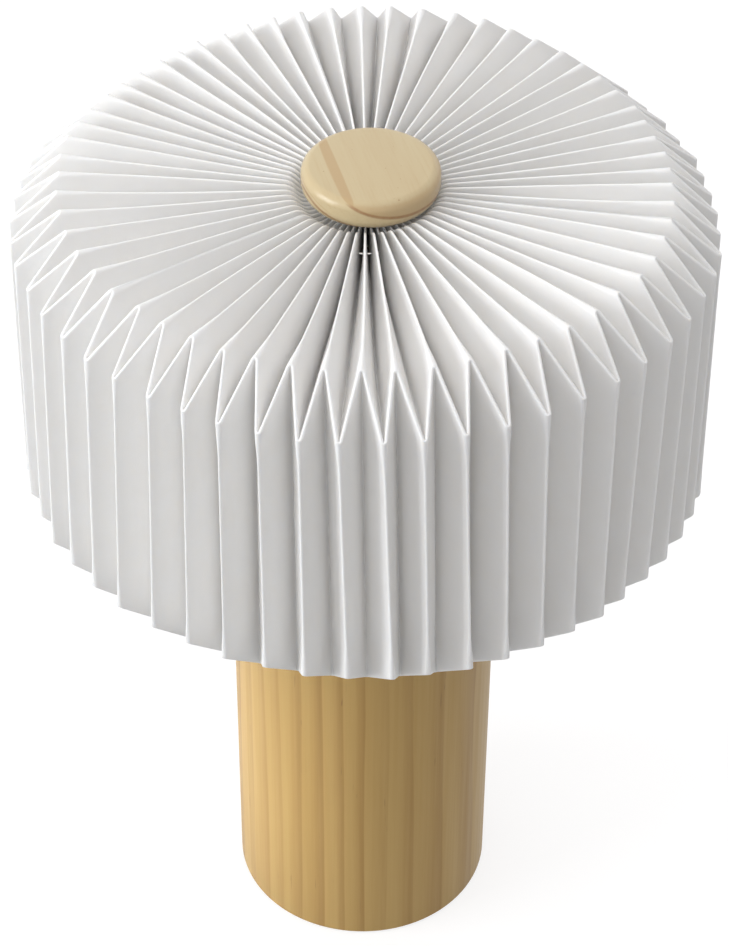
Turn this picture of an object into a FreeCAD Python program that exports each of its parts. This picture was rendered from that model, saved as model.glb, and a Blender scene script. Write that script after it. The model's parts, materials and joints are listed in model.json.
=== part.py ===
import FreeCAD, Part
import math
import os

# Pleated paper table lamp: a turned pine block carries a screw lampholder and a
# wire carrier, and a reverse-folded paper shade hangs from the carrier under a
# turned wooden knob.  Millimetres, +Z up, origin on the floor under the base.

V = FreeCAD.Vector
UP = V(0, 0, 1)

# ---------------------------------------------------------------- base block
BASE_R = 51.1                  # turned pine cylinder
BASE_TOP = 200.0               # top face, hidden inside the shade
BASE_LIFT = 0.6                # wood stands this far off the floor on its felt
BASE_TOP_ROUND = 2.0
BASE_FOOT_CHAMFER = 0.5
HOLDER_WELL_R = 24.5           # well in the top that hides the lampholder's cap
HOLDER_WELL_DEPTH = 20.0
NUT_WELL_R = 30.0              # well in the underside for the nut and the leads
NUT_WELL_DEPTH = 22.0
TUBE_HOLE_CLEARANCE = 0.25
FELT_R = 46.0
FELT_THICK = 2.0
FELT_EDGE_CLEARANCE = 0.5

# ------------------------------------------------------------- cord inlet bush
INLET_Z = 13.0                 # height of the side hole, at the back (+Y)
INLET_HOLE_R = 5.0
INLET_BORE_R = 3.3
INLET_LENGTH = 15.0
INLET_FLANGE_R = 7.5
INLET_FLANGE_THICK = 2.0
INLET_FLANGE_ROUND = 0.8

# --------------------------------------------------- threaded tube and its nut
TUBE_R = 5.0
TUBE_BORE_R = 3.6
TUBE_BELOW_NUT = 3.0
TUBE_IN_HOLDER = 9.0
TUBE_NUT_FLATS = 14.0
TUBE_NUT_HEIGHT = 4.5
TUBE_WASHER_R = 13.0
TUBE_WASHER_THICK = 1.5
THREAD_CLEARANCE = 0.02

# ----------------------------------------------------------------- lampholder
HOLDER_PLATE_R = 20.0
HOLDER_PLATE_THICK = 1.5
HOLDER_CAP_FOOT_R = 11.0
HOLDER_CAP_R = 20.0
HOLDER_CAP_HEIGHT = 22.0
HOLDER_CAP_WALL = 2.0
HOLDER_CAP_ROUND = 7.0
HOLDER_COLLAR_R = 7.5          # inner collar that takes the tube
HOLDER_SKIRT_R = 19.6
HOLDER_SKIRT_BORE_R = 14.6
HOLDER_SKIRT_HEIGHT = 33.0
HOLDER_SHOULDER_R = 23.0
HOLDER_SHOULDER_THICK = 2.5
HOLDER_SHOULDER_UP = 5.0       # above the cap's rim
GRUB_R = 1.5
GRUB_HEAD_DEPTH = 0.6
GRUB_ABOVE_FOOT = 4.5
SOCKET_BLOCK_R = 14.3
SOCKET_BLOCK_HEIGHT = 8.0
SOCKET_BLOCK_BELOW = 4.0       # below the cap's rim
SCREW_SHELL_WALL = 0.5
SCREW_SHELL_CLEARANCE = 0.3    # between the bulb's cap and the brass shell
SCREW_SHELL_BELOW_RIM = 3.0
SPRING_WIDTH = 6.0
SPRING_THICK = 0.5
SPRING_REACH = 9.0
SPRING_RISE = 2.4
TERMINAL_SPACING = 15.0
TERMINAL_R = 1.75
TERMINAL_HEAD_R = 2.8
TERMINAL_HEAD_HEIGHT = 1.6
SHADE_RING_R = 27.0
SHADE_RING_NECK_R = 23.5
SHADE_RING_HEIGHT = 9.0
SHADE_RING_FLANGE = 2.5
SHADE_RING_RIBS = 24
SHADE_RING_RIB_R = 0.7

# ----------------------------------------------------------------------- bulb
BULB_LENGTH = 78.0
BULB_GLOBE_R = 22.5
BULB_CAP_R = 13.15
BULB_CAP_HEIGHT = 22.0
BULB_COLLAR_HEIGHT = 8.0
BULB_COLLAR_R = 14.2
BULB_COLLAR_NECK = 1.0         # the collar's foot is this much inside the cap
BULB_COLLAR_CONE = 2.0
BULB_INSULATOR_HEIGHT = 3.2
BULB_INSULATOR_TOP_R = 10.0
BULB_TIP_R = 4.5
BULB_TIP_HEIGHT = 1.4
BULB_TIP_EDGE = 1.0
BULB_TIP_LIFT = 0.3            # the centre contact over the spring
BULB_NECK_RISE = 2.0           # the globe's neck opens over this height

# --------------------------------------------------------------- wire carrier
CARRIER_RING_R = 34.0
CARRIER_RING_THICK = 1.5
CARRIER_RING_CLEARANCE = 0.3
CARRIER_LEGS = 3
CARRIER_WIRE_R = 1.4
CARRIER_LEG_FOOT_R = 31.0
CARRIER_LEG_WIDE_R = 40.0
CARRIER_LEG_HEAD_R = 16.0
CARRIER_LEG_STRAIGHT = 6.0
CARRIER_LEG_WIDE_LOW = 28.0    # above the ring
CARRIER_LEG_WIDE_HIGH = 82.0
CARRIER_LEG_BEND_R = 9.0
HUB_X = 1.6                    # the hand-bent wires carry the hub a little off
HUB_Y = -0.8                   # the base's axis
HUB_PLATE_R = 24.0
HUB_PLATE_THICK = 2.0
STUD_R = 3.0
STUD_BELOW_NUT = 1.5
STUD_IN_KNOB = 8.5
HUB_NUT_FLATS = 10.0
HUB_NUT_HEIGHT = 4.0
SEAT_WASHER_R = 24.0
SEAT_WASHER_BORE_R = 7.5
SEAT_WASHER_THICK = 1.0

# ---------------------------------------------------------------- paper shade
PLEATS = 60
SHEETS = 3
PLEATS_PER_SHEET = PLEATS // SHEETS
FIRST_SEAM_NUMBER = 6.5        # ridge where the front sheet begins
FRONT_RIDGE_NUMBER = 14.5      # ridge that faces the front (-Y)
SHADE_TURN = -0.3              # degrees
# The gathered pleats stand wider apart at the front than at the back: degrees
# of sine and cosine unevenness, once, twice, three and four times round.
GATHER = ((3.5, -0.4), (1.84, 0.96), (-1.0, -0.6), (-0.45, -0.25))
PAPER = 0.3                    # sheet thickness
SHOULDER_R = 123.5             # outer folds where wall turns into top
SHOULDER_Z = 331.0
PLEAT_DEPTH = 17.3             # radial, at the shoulder
SHOULDER_RISE = 16.0           # ridge ends stand above the valley ends
SHADE_DROP = 105.3             # wall height down to the hem
HEM_FLARE = 1.6                # the hem stands this far outside the shoulder
CROWN_EDGE_R = 26.6            # where the ridges start to dip under the knob
CROWN_SEAT_R = 22.5            # where they lie low enough for the knob and its washer
CROWN_HOLE_R = 12.0
RIDGE_DIP_EDGE = 4.5           # below the ridge ends at the shoulder
RIDGE_DIP_SEAT = 8.8
VALLEY_DIP_EDGE = 5.8          # below the valley ends at the shoulder
VALLEY_DIP_SEAT = 7.6
CREASE_REACH_MAX = 1.0         # a sharp crease is no longer than this
CROWN_STEPS = 4                # the top panels twist, so they are made in steps
TAB_GLUE = 0.03                # glue between a seam tab and its sheets
TIE_WIRE_R = 0.4
TIE_RING_R = 27.0
TIE_RING_DOWN = 13.5           # below the shoulder's ridge ends

# ----------------------------------------------------------------------- knob
KNOB_R = 24.2
KNOB_THICK = 15.0
KNOB_TOP_ROUND = 7.0
KNOB_FOOT_ROUND = 4.5
KNOB_CROWN = 0.6               # the top is very slightly domed
KNOB_WASHER_R = 18.0
KNOB_WASHER_THICK = 1.0
SEAT_GAP = 0.3                 # between pieces that only rest on each other
INSERT_R = 5.5
INSERT_HEIGHT = 10.0
INSERT_FLANGE_R = 8.0
INSERT_FLANGE_THICK = 1.2
RUNNING_GAP = 0.05             # radial, thread crest to thread crest

# ------------------------------------------------------------ derived heights
block_foot = BASE_LIFT
felt_seat = FELT_THICK
nut_well_top = block_foot + NUT_WELL_DEPTH
holder_well_floor = BASE_TOP - HOLDER_WELL_DEPTH
cap_foot = holder_well_floor + HOLDER_PLATE_THICK
cap_rim = cap_foot + HOLDER_CAP_HEIGHT
skirt_rim = cap_rim + HOLDER_SKIRT_HEIGHT
shoulder_top = cap_rim + HOLDER_SHOULDER_UP + HOLDER_SHOULDER_THICK
carrier_ring_top = shoulder_top + CARRIER_RING_THICK
socket_floor = cap_rim - SOCKET_BLOCK_BELOW + SOCKET_BLOCK_HEIGHT
bulb_foot = socket_floor + SPRING_RISE + SPRING_THICK + BULB_TIP_LIFT
bulb_cap_foot = bulb_foot + BULB_TIP_HEIGHT + BULB_INSULATOR_HEIGHT
bulb_cap_top = bulb_cap_foot + BULB_CAP_HEIGHT
screw_shell_r = BULB_CAP_R + SCREW_SHELL_CLEARANCE
hem_z = SHOULDER_Z - SHADE_DROP
ridge_end_r = SHOULDER_R - PLEAT_DEPTH
ridge_end_z = SHOULDER_Z + SHOULDER_RISE
valley_seat_z = SHOULDER_Z - VALLEY_DIP_SEAT
ridge_seat_z = ridge_end_z - RIDGE_DIP_SEAT
washer_top = valley_seat_z - CREASE_REACH_MAX - SEAT_GAP
hub_top = washer_top - SEAT_WASHER_THICK
hub_foot = hub_top - HUB_PLATE_THICK
knob_washer_foot = ridge_seat_z + CREASE_REACH_MAX + SEAT_GAP
knob_foot = knob_washer_foot + KNOB_WASHER_THICK
knob_top = knob_foot + KNOB_THICK


def shifted(shape, x, y):
    """Move a shape sideways."""
    moved = shape.copy()
    moved.translate(V(x, y, 0))
    return moved


def on_hub(shape):
    """Put a shape made round the base's axis on the hub's axis."""
    return shifted(shape, HUB_X, HUB_Y)


def disc(radius, foot, top, bore=0.0):
    """Plain or bored round plate between two heights."""
    plate = Part.makeCylinder(radius, top - foot, V(0, 0, foot))
    if bore > 0:
        plate = plate.cut(Part.makeCylinder(bore, top - foot, V(0, 0, foot)))
    return plate


def turned(points):
    """Turn a closed outline round Z.  A point is (r, z); a triple (r, z, bulge)
    ends an arc from the point before it, whose bulge is the tangent of a quarter
    of the arc's angle, positive where the arc swells to the right of the way."""
    edges = []
    start = points[-1]
    for point in points:
        a = V(start[0], 0, start[1])
        b = V(point[0], 0, point[1])
        if len(point) == 3:
            chord = b - a
            left = V(-chord.z, 0, chord.x)
            middle = (a + b) * 0.5 - left * (0.5 * point[2])
            edges.append(Part.Arc(a, middle, b).toShape())
        elif (b - a).Length > 1e-6:
            edges.append(Part.LineSegment(a, b).toShape())
        start = point
    face = Part.Face(Part.Wire(edges))
    return face.revolve(V(0, 0, 0), UP, 360)


QUARTER = math.tan(math.radians(90) / 4)


def hexagon(flats, foot, top, bore):
    """Hexagon nut with turned corners and a plain bore at the thread's crest."""
    corner = flats / math.sqrt(3)
    ring = [V(corner * math.cos(math.radians(60 * i)), corner * math.sin(math.radians(60 * i)), foot)
            for i in range(7)]
    nut = Part.Face(Part.makePolygon(ring)).extrude(V(0, 0, top - foot))
    flat_r = flats / 2
    drop = (corner - flat_r) * math.tan(math.radians(30))
    envelope = turned([(0, foot), (flat_r, foot), (corner, foot + drop), (corner, top - drop),
                       (flat_r, top), (0, top)])
    return nut.common(envelope).cut(disc(bore, foot, top))


# ============================================================== base and cord
def base_block():
    """Pine cylinder: tube hole, well for the lampholder, well for nut and leads,
    shallow seat for the felt, and the cord's side hole."""
    rounding = BASE_TOP_ROUND
    outline = [
        (NUT_WELL_R, nut_well_top),
        (NUT_WELL_R, felt_seat),
        (FELT_R + FELT_EDGE_CLEARANCE, felt_seat),
        (FELT_R + FELT_EDGE_CLEARANCE, block_foot),
        (BASE_R - BASE_FOOT_CHAMFER, block_foot),
        (BASE_R, block_foot + BASE_FOOT_CHAMFER),
        (BASE_R, BASE_TOP - rounding),
        (BASE_R - rounding, BASE_TOP, QUARTER),
        (HOLDER_WELL_R, BASE_TOP),
        (HOLDER_WELL_R, holder_well_floor),
        (TUBE_R + TUBE_HOLE_CLEARANCE, holder_well_floor),
        (TUBE_R + TUBE_HOLE_CLEARANCE, nut_well_top),
    ]
    return turned(outline).cut(side_hole())


def side_hole():
    """Hole for the cord's bush, from the well to the back."""
    return Part.makeCylinder(INLET_HOLE_R, BASE_R, V(0, 0, INLET_Z), V(0, 1, 0))


def base_felt():
    """Felt disc glued over the well, standing a little proud of the wood."""
    return disc(FELT_R, 0, felt_seat)


def inlet_bush():
    """Flanged bush that lines the cord's hole at the back of the base."""
    outer_end = BASE_R + INLET_FLANGE_THICK
    inner_end = BASE_R - INLET_LENGTH
    rim = INLET_FLANGE_ROUND
    bush = turned([
        (INLET_BORE_R, inner_end),
        (INLET_HOLE_R, inner_end),
        (INLET_HOLE_R, BASE_R - INLET_FLANGE_THICK),
        (INLET_FLANGE_R, BASE_R - INLET_FLANGE_THICK),
        (INLET_FLANGE_R, outer_end - rim),
        (INLET_FLANGE_R - rim, outer_end, QUARTER),
        (INLET_BORE_R, outer_end),
    ])
    bush.rotate(V(0, 0, 0), V(1, 0, 0), -90)
    bush.translate(V(0, 0, INLET_Z))
    wood = Part.makeCylinder(BASE_R, BASE_TOP).cut(side_hole())
    return bush.cut(wood)


# ================================================================= lampholder
def threaded_tube():
    """Tube that clamps the lampholder to the block and carries the leads."""
    foot = nut_well_top - TUBE_WASHER_THICK - TUBE_NUT_HEIGHT - TUBE_BELOW_NUT
    return disc(TUBE_R, foot, cap_foot + TUBE_IN_HOLDER, TUBE_BORE_R)


def tube_washer():
    """Washer between the nut and the wood."""
    bore = TUBE_R + TUBE_HOLE_CLEARANCE
    return disc(TUBE_WASHER_R, nut_well_top - TUBE_WASHER_THICK, nut_well_top, bore)


def tube_nut():
    """Hexagon nut that pulls the lampholder down on the block."""
    top = nut_well_top - TUBE_WASHER_THICK
    return hexagon(TUBE_NUT_FLATS, top - TUBE_NUT_HEIGHT, top, TUBE_R + THREAD_CLEARANCE)


def holder_plate():
    """Steel plate between the wood and the lampholder."""
    return disc(HOLDER_PLATE_R, holder_well_floor, cap_foot, TUBE_R + TUBE_HOLE_CLEARANCE)


def holder_cap():
    """Domed lower half of the lampholder with the collar for the tube."""
    wall = HOLDER_CAP_WALL
    dome = HOLDER_CAP_ROUND
    shell = turned([
        (TUBE_R + THREAD_CLEARANCE, cap_foot),
        (HOLDER_CAP_FOOT_R, cap_foot),
        (HOLDER_CAP_R - dome, cap_foot + wall),
        (HOLDER_CAP_R, cap_foot + wall + dome, QUARTER),
        (HOLDER_CAP_R, cap_rim),
        (HOLDER_CAP_R - wall, cap_rim),
        (HOLDER_CAP_R - wall, cap_foot + 2 * wall + dome),
        (HOLDER_CAP_R - wall - dome, cap_foot + 2 * wall, -QUARTER),
        (HOLDER_COLLAR_R, cap_foot + 2 * wall),
        (HOLDER_COLLAR_R, cap_foot + TUBE_IN_HOLDER),
        (TUBE_R + THREAD_CLEARANCE, cap_foot + TUBE_IN_HOLDER),
    ])
    return shell.cut(grub_hole(GRUB_R))


def grub_hole(radius):
    """Space of the small screw that locks the cap on its tube."""
    reach = HOLDER_CAP_R - TUBE_R
    return Part.makeCylinder(radius, reach, V(-TUBE_R - THREAD_CLEARANCE, 0, cap_foot + GRUB_ABOVE_FOOT),
                             V(-1, 0, 0))


def grub_screw():
    """Headless slotted screw through the cap's collar."""
    length = HOLDER_COLLAR_R - TUBE_R + HOLDER_CAP_WALL
    screw = Part.makeCylinder(GRUB_R, length, V(-TUBE_R - THREAD_CLEARANCE, 0, cap_foot + GRUB_ABOVE_FOOT),
                              V(-1, 0, 0))
    slot = Part.makeBox(GRUB_HEAD_DEPTH, 2 * GRUB_R, GRUB_HEAD_DEPTH,
                        V(-TUBE_R - THREAD_CLEARANCE - length, -GRUB_R,
                          cap_foot + GRUB_ABOVE_FOOT - GRUB_HEAD_DEPTH / 2))
    return screw.cut(slot)


def holder_skirt():
    """Upper half of the lampholder: outer skirt with the shoulder for the ring."""
    lip = HOLDER_CAP_R - HOLDER_CAP_WALL
    shoulder_foot = shoulder_top - HOLDER_SHOULDER_THICK
    return turned([
        (HOLDER_SKIRT_BORE_R, cap_rim - SOCKET_BLOCK_BELOW),
        (lip, cap_rim - SOCKET_BLOCK_BELOW),
        (lip, cap_rim),
        (HOLDER_CAP_R, cap_rim),
        (HOLDER_SHOULDER_R, shoulder_foot),
        (HOLDER_SHOULDER_R, shoulder_top),
        (HOLDER_SKIRT_R, shoulder_top),
        (HOLDER_SKIRT_R, skirt_rim),
        (HOLDER_SKIRT_BORE_R, skirt_rim),
    ])


def socket_block():
    """Insulating block that carries the contacts, with holes for the terminals."""
    foot = cap_rim - SOCKET_BLOCK_BELOW
    block = disc(SOCKET_BLOCK_R, foot, socket_floor)
    for side in (-1, 1):
        hole = disc(TERMINAL_R + THREAD_CLEARANCE, foot, socket_floor)
        block = block.cut(shifted(hole, side * TERMINAL_SPACING / 2, 0))
    return block


def terminal_screws():
    """Two cheese-head screws under the block that clamp the leads."""
    foot = cap_rim - SOCKET_BLOCK_BELOW
    screws = []
    for side in (-1, 1):
        shank = disc(TERMINAL_R, foot, socket_floor)
        head = disc(TERMINAL_HEAD_R, foot - TERMINAL_HEAD_HEIGHT, foot)
        screws.append(shifted(shank.fuse(head), side * TERMINAL_SPACING / 2, 0))
    return Part.makeCompound(screws)


def screw_shell():
    """Thin brass sleeve that the bulb's cap screws into."""
    rim = skirt_rim - SCREW_SHELL_BELOW_RIM
    return disc(screw_shell_r + SCREW_SHELL_WALL, socket_floor, rim, screw_shell_r)


def contact_spring():
    """Leaf spring on the block: a flat foot, a ramp and a raised tongue."""
    foot = socket_floor
    rise = SPRING_RISE
    half = SPRING_REACH / 2
    thick = SPRING_THICK
    outline = [
        V(-SPRING_REACH, 0, foot), V(-half, 0, foot), V(-half / 2, 0, foot + rise), V(half, 0, foot + rise),
        V(half, 0, foot + rise + thick), V(-half / 2 - thick, 0, foot + rise + thick),
        V(-half - thick, 0, foot + thick), V(-SPRING_REACH, 0, foot + thick), V(-SPRING_REACH, 0, foot),
    ]
    strip = Part.Face(Part.makePolygon(outline)).extrude(V(0, SPRING_WIDTH, 0))
    return shifted(strip, 0, -SPRING_WIDTH / 2)


def shade_ring():
    """Ribbed ring nut that clamps the carrier on the lampholder's shoulder."""
    foot = carrier_ring_top
    top = foot + SHADE_RING_HEIGHT
    bore = HOLDER_SKIRT_R + THREAD_CLEARANCE
    ring = turned([
        (bore, foot),
        (SHADE_RING_R, foot),
        (SHADE_RING_R, foot + SHADE_RING_FLANGE),
        (SHADE_RING_NECK_R, foot + SHADE_RING_FLANGE),
        (SHADE_RING_NECK_R, top),
        (bore, top),
    ])
    for i in range(SHADE_RING_RIBS):
        turn = 2 * math.pi * i / SHADE_RING_RIBS
        groove = disc(SHADE_RING_RIB_R, foot + SHADE_RING_FLANGE, top)
        groove = shifted(groove, SHADE_RING_NECK_R * math.cos(turn), SHADE_RING_NECK_R * math.sin(turn))
        ring = ring.cut(groove)
    return ring


# ======================================================================= bulb
def bulb_globe():
    """Opal globe with its neck, down to the plastic collar."""
    centre = bulb_foot + BULB_LENGTH - BULB_GLOBE_R
    neck_foot = bulb_cap_top + BULB_COLLAR_HEIGHT
    join_z = neck_foot + BULB_NECK_RISE
    join_r = math.sqrt(BULB_GLOBE_R ** 2 - (centre - join_z) ** 2)
    swing = math.radians(90) + math.asin((centre - join_z) / BULB_GLOBE_R)
    return turned([
        (0, neck_foot),
        (BULB_COLLAR_R, neck_foot),
        (join_r, join_z),
        (0, centre + BULB_GLOBE_R, math.tan(swing / 4)),
    ])


def bulb_collar():
    """Plastic collar between the globe and the metal cap."""
    return turned([
        (0, bulb_cap_top),
        (BULB_CAP_R - BULB_COLLAR_NECK, bulb_cap_top),
        (BULB_COLLAR_R, bulb_cap_top + BULB_COLLAR_CONE),
        (BULB_COLLAR_R, bulb_cap_top + BULB_COLLAR_HEIGHT),
        (0, bulb_cap_top + BULB_COLLAR_HEIGHT),
    ])


def bulb_cap():
    """Metal screw cap of the bulb, at its thread's crest."""
    return disc(BULB_CAP_R, bulb_cap_foot, bulb_cap_top)


def bulb_insulator():
    """Dark glass cone between the cap and its centre contact."""
    foot = bulb_foot + BULB_TIP_HEIGHT
    return turned([(0, foot), (BULB_TIP_R, foot), (BULB_INSULATOR_TOP_R, bulb_cap_foot), (0, bulb_cap_foot)])


def bulb_tip():
    """Soldered centre contact."""
    return turned([
        (0, bulb_foot),
        (BULB_TIP_R - BULB_TIP_EDGE, bulb_foot),
        (BULB_TIP_R, bulb_foot + BULB_TIP_HEIGHT),
        (0, bulb_foot + BULB_TIP_HEIGHT),
    ])


# =============================================================== wire carrier
def carrier_ring():
    """Flat ring that the lampholder's ring nut clamps."""
    return disc(CARRIER_RING_R, shoulder_top, carrier_ring_top, HOLDER_SKIRT_R + CARRIER_RING_CLEARANCE)


def bent_wire(points, radius, bend_r):
    """Round wire along straight runs joined by tangent arcs."""
    edges = []
    last = points[0]
    for before, corner, after in zip(points, points[1:], points[2:]):
        into = (corner - before).normalize()
        out = (after - corner).normalize()
        turn = into.getAngle(out)
        cut = bend_r * math.tan(turn / 2)
        start = corner - into * cut
        end = corner + out * cut
        inward = (out - into).normalize()
        centre = corner + inward * (bend_r / math.cos(turn / 2))
        edges.append(Part.LineSegment(last, start).toShape())
        edges.append(Part.Arc(start, centre - inward * bend_r, end).toShape())
        last = end
    edges.append(Part.LineSegment(last, points[-1]).toShape())
    section = Part.Wire(Part.makeCircle(radius, points[0], points[1] - points[0]))
    return Part.Wire(edges).makePipeShell([section], True, False)


def carrier_legs():
    """Bent wires that rise round the bulb from the ring to the hub plate."""
    legs = []
    for i in range(CARRIER_LEGS):
        turn = math.radians(90 + 360 * i / CARRIER_LEGS)
        way = V(math.cos(turn), math.sin(turn), 0)
        hub = V(HUB_X, HUB_Y, 0)
        legs.append(bent_wire([
            way * CARRIER_LEG_FOOT_R + UP * carrier_ring_top,
            way * CARRIER_LEG_FOOT_R + UP * (carrier_ring_top + CARRIER_LEG_STRAIGHT),
            way * CARRIER_LEG_WIDE_R + UP * (carrier_ring_top + CARRIER_LEG_WIDE_LOW),
            way * CARRIER_LEG_WIDE_R + UP * (carrier_ring_top + CARRIER_LEG_WIDE_HIGH),
            way * CARRIER_LEG_HEAD_R + hub + UP * (hub_foot - CARRIER_LEG_STRAIGHT),
            way * CARRIER_LEG_HEAD_R + hub + UP * hub_foot,
        ], CARRIER_WIRE_R, CARRIER_LEG_BEND_R))
    return Part.makeCompound(legs)


def hub_plate():
    """Round plate on the wires that the shade sits on."""
    return on_hub(disc(HUB_PLATE_R, hub_foot, hub_top, STUD_R + THREAD_CLEARANCE))


def hub_stud():
    """Threaded stud that stands up into the knob."""
    foot = hub_foot - HUB_NUT_HEIGHT - STUD_BELOW_NUT
    return on_hub(disc(STUD_R, foot, knob_foot + STUD_IN_KNOB))


def hub_nuts():
    """Nuts that clamp the stud on the plate, one below and one above."""
    low = hexagon(HUB_NUT_FLATS, hub_foot - HUB_NUT_HEIGHT, hub_foot, STUD_R + THREAD_CLEARANCE)
    high = hexagon(HUB_NUT_FLATS, hub_top, hub_top + HUB_NUT_HEIGHT, STUD_R + THREAD_CLEARANCE)
    return on_hub(Part.makeCompound([low, high]))


def seat_washer():
    """Fibre washer between the hub plate and the folds of the shade."""
    return on_hub(disc(SEAT_WASHER_R, hub_top, washer_top, SEAT_WASHER_BORE_R))


# ================================================================ paper shade
def fold_angle(k):
    """Direction of fold k in radians.  Whole numbers are outer folds, halves are
    inner folds, and k rises anticlockwise seen from above."""
    phase = 2 * math.pi * (k - FRONT_RIDGE_NUMBER) / PLEATS
    uneven = SHADE_TURN
    for harmonic, (sine, cosine) in enumerate(GATHER, 1):
        uneven += sine * math.sin(harmonic * phase) + cosine * math.cos(harmonic * phase)
    return phase - math.pi / 2 + math.radians(uneven)


def fold_rows(k):
    """(r, z) of fold k from the hem over the shoulder to the hole in the top."""
    if float(k).is_integer():
        shoulder = (SHOULDER_R, SHOULDER_Z)
        edge = (CROWN_EDGE_R, SHOULDER_Z - VALLEY_DIP_EDGE)
        seat_z = valley_seat_z
    else:
        shoulder = (ridge_end_r, ridge_end_z)
        edge = (CROWN_EDGE_R, ridge_end_z - RIDGE_DIP_EDGE)
        seat_z = ridge_seat_z
    rows = [(shoulder[0] + HEM_FLARE, hem_z), shoulder]
    for i in range(1, CROWN_STEPS + 1):
        share = i / CROWN_STEPS
        rows.append(tuple(a + (b - a) * share for a, b in zip(shoulder, edge)))
    return rows + [(CROWN_SEAT_R, seat_z), (CROWN_HOLE_R, seat_z)]


SHOULDER_ROW = 1
EDGE_ROW = SHOULDER_ROW + CROWN_STEPS
HOLE_ROW = EDGE_ROW + 2


def fold_point(k, row):
    """Point of a fold on the sheet's middle surface."""
    r, z = fold_rows(k)[row]
    angle = fold_angle(k)
    return V(r * math.cos(angle), r * math.sin(angle), z)


def crease_vector(k, row):
    """Step from the middle surface of a fold to its outer face: outwards on the
    wall, upwards on the top and both at the shoulder.  It is longer than half the
    paper, because the crease is sharp."""
    here = fold_point(k, row)
    angle = fold_angle(k)
    out = V(math.cos(angle), math.sin(angle), 0)
    along = V(-math.sin(angle), math.cos(angle), 0)
    radial = 0
    upward = 0
    for side in (-0.5, 0.5):
        step = fold_point(k + side, row) - here
        apart = abs(step.dot(along))
        radial += math.hypot(step.dot(out), apart) / apart / 2
        upward += math.hypot(step.z, apart) / apart / 2
    radial = min(radial * PAPER / 2, CREASE_REACH_MAX)
    upward = min(upward * PAPER / 2, CREASE_REACH_MAX)
    vector = V(0, 0, 0)
    if row <= SHOULDER_ROW:
        vector += out * radial
    if row >= SHOULDER_ROW:
        vector += UP * upward
    return vector


def sheet_point(k, row, level):
    """Point at k, also between two folds, and at a level: 1 is the outer face of
    the sheet and -1 its inner face."""
    low = math.floor(2 * k) / 2
    share = 2 * (k - low)
    point = fold_point(low, row) + crease_vector(low, row) * level
    if share < 1e-9:
        return point
    other = fold_point(low + 0.5, row) + crease_vector(low + 0.5, row) * level
    return point * (1 - share) + other * share


def patch(corners):
    """One flat face, or two where the four corners aren't in one plane."""
    a, b, c, d = corners
    normal = (b - a).cross(c - a).normalize()
    if abs((d - a).dot(normal)) < 1e-6:
        return [Part.Face(Part.makePolygon([a, b, c, d, a]))]
    return [Part.Face(Part.makePolygon([a, b, c, a])), Part.Face(Part.makePolygon([a, c, d, a]))]


def folded_solid(columns, rows, outer, inner):
    """Closed solid between two levels of the folded sheet."""
    out = [[sheet_point(k, row, outer) for row in rows] for k in columns]
    back = [[sheet_point(k, row, inner) for row in rows] for k in columns]
    last_column = len(columns) - 1
    last_row = len(rows) - 1
    faces = []
    for i in range(last_column):
        for j in range(last_row):
            faces += patch([out[i][j], out[i + 1][j], out[i + 1][j + 1], out[i][j + 1]])
            faces += patch([back[i][j], back[i][j + 1], back[i + 1][j + 1], back[i + 1][j]])
        for j in (0, last_row):
            faces += patch([out[i][j], back[i][j], back[i + 1][j], out[i + 1][j]])
    for i in (0, last_column):
        for j in range(last_row):
            faces += patch([out[i][j], out[i][j + 1], back[i][j + 1], back[i][j]])
    shell = Part.makeShell(faces)
    shell.sewShape()
    solid = Part.makeSolid(shell)
    if solid.Volume < 0:
        solid.reverse()
    return solid


def seam(index):
    """Ridge where sheet number index begins."""
    return FIRST_SEAM_NUMBER + index * PLEATS_PER_SHEET


def shade_sheet(index):
    """One of the folded sheets, from ridge to ridge."""
    columns = [seam(index) + i / 2 for i in range(2 * PLEATS_PER_SHEET + 1)]
    return folded_solid(columns, range(HOLE_ROW + 1), 1, -1)


def seam_tabs():
    """Folded paper tabs, a panel wide each way, glued inside the ridges where two
    sheets meet, from the hem to a step short of the tie ring."""
    front = -1 - TAB_GLUE / (PAPER / 2)
    back = front - 2
    tabs = []
    for index in range(SHEETS):
        columns = [seam(index) + side for side in (-0.5, 0, 0.5)]
        tabs.append(folded_solid(columns, range(EDGE_ROW), front, back))
    return Part.makeCompound(tabs)


def tie_ring():
    """Wire ring threaded through every fold beside the knob."""
    return Part.makeTorus(TIE_RING_R, TIE_WIRE_R, V(0, 0, ridge_end_z - TIE_RING_DOWN))


# ======================================================================= knob
def knob():
    """Pebble-shaped pine knob with a blind hole for its insert."""
    top = KNOB_TOP_ROUND
    foot = KNOB_FOOT_ROUND
    side_top = knob_top - KNOB_CROWN - top
    flat_r = KNOB_R - top
    body = turned([
        (INSERT_FLANGE_R, knob_foot),
        (KNOB_R - foot, knob_foot),
        (KNOB_R, knob_foot + foot, QUARTER),
        (KNOB_R, side_top),
        (flat_r, knob_top - KNOB_CROWN, QUARTER),
        (0, knob_top, math.tan(math.atan(KNOB_CROWN / flat_r) / 2)),
        (0, knob_foot + INSERT_HEIGHT),
        (INSERT_R, knob_foot + INSERT_HEIGHT),
        (INSERT_R, knob_foot + INSERT_FLANGE_THICK),
        (INSERT_FLANGE_R, knob_foot + INSERT_FLANGE_THICK),
    ])
    return on_hub(body)


def knob_insert():
    """Flanged brass insert that runs on the stud."""
    bore = STUD_R + RUNNING_GAP
    body = turned([
        (bore, knob_foot),
        (INSERT_FLANGE_R, knob_foot),
        (INSERT_FLANGE_R, knob_foot + INSERT_FLANGE_THICK),
        (INSERT_R, knob_foot + INSERT_FLANGE_THICK),
        (INSERT_R, knob_foot + INSERT_HEIGHT),
        (bore, knob_foot + INSERT_HEIGHT),
    ])
    return on_hub(body)


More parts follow.
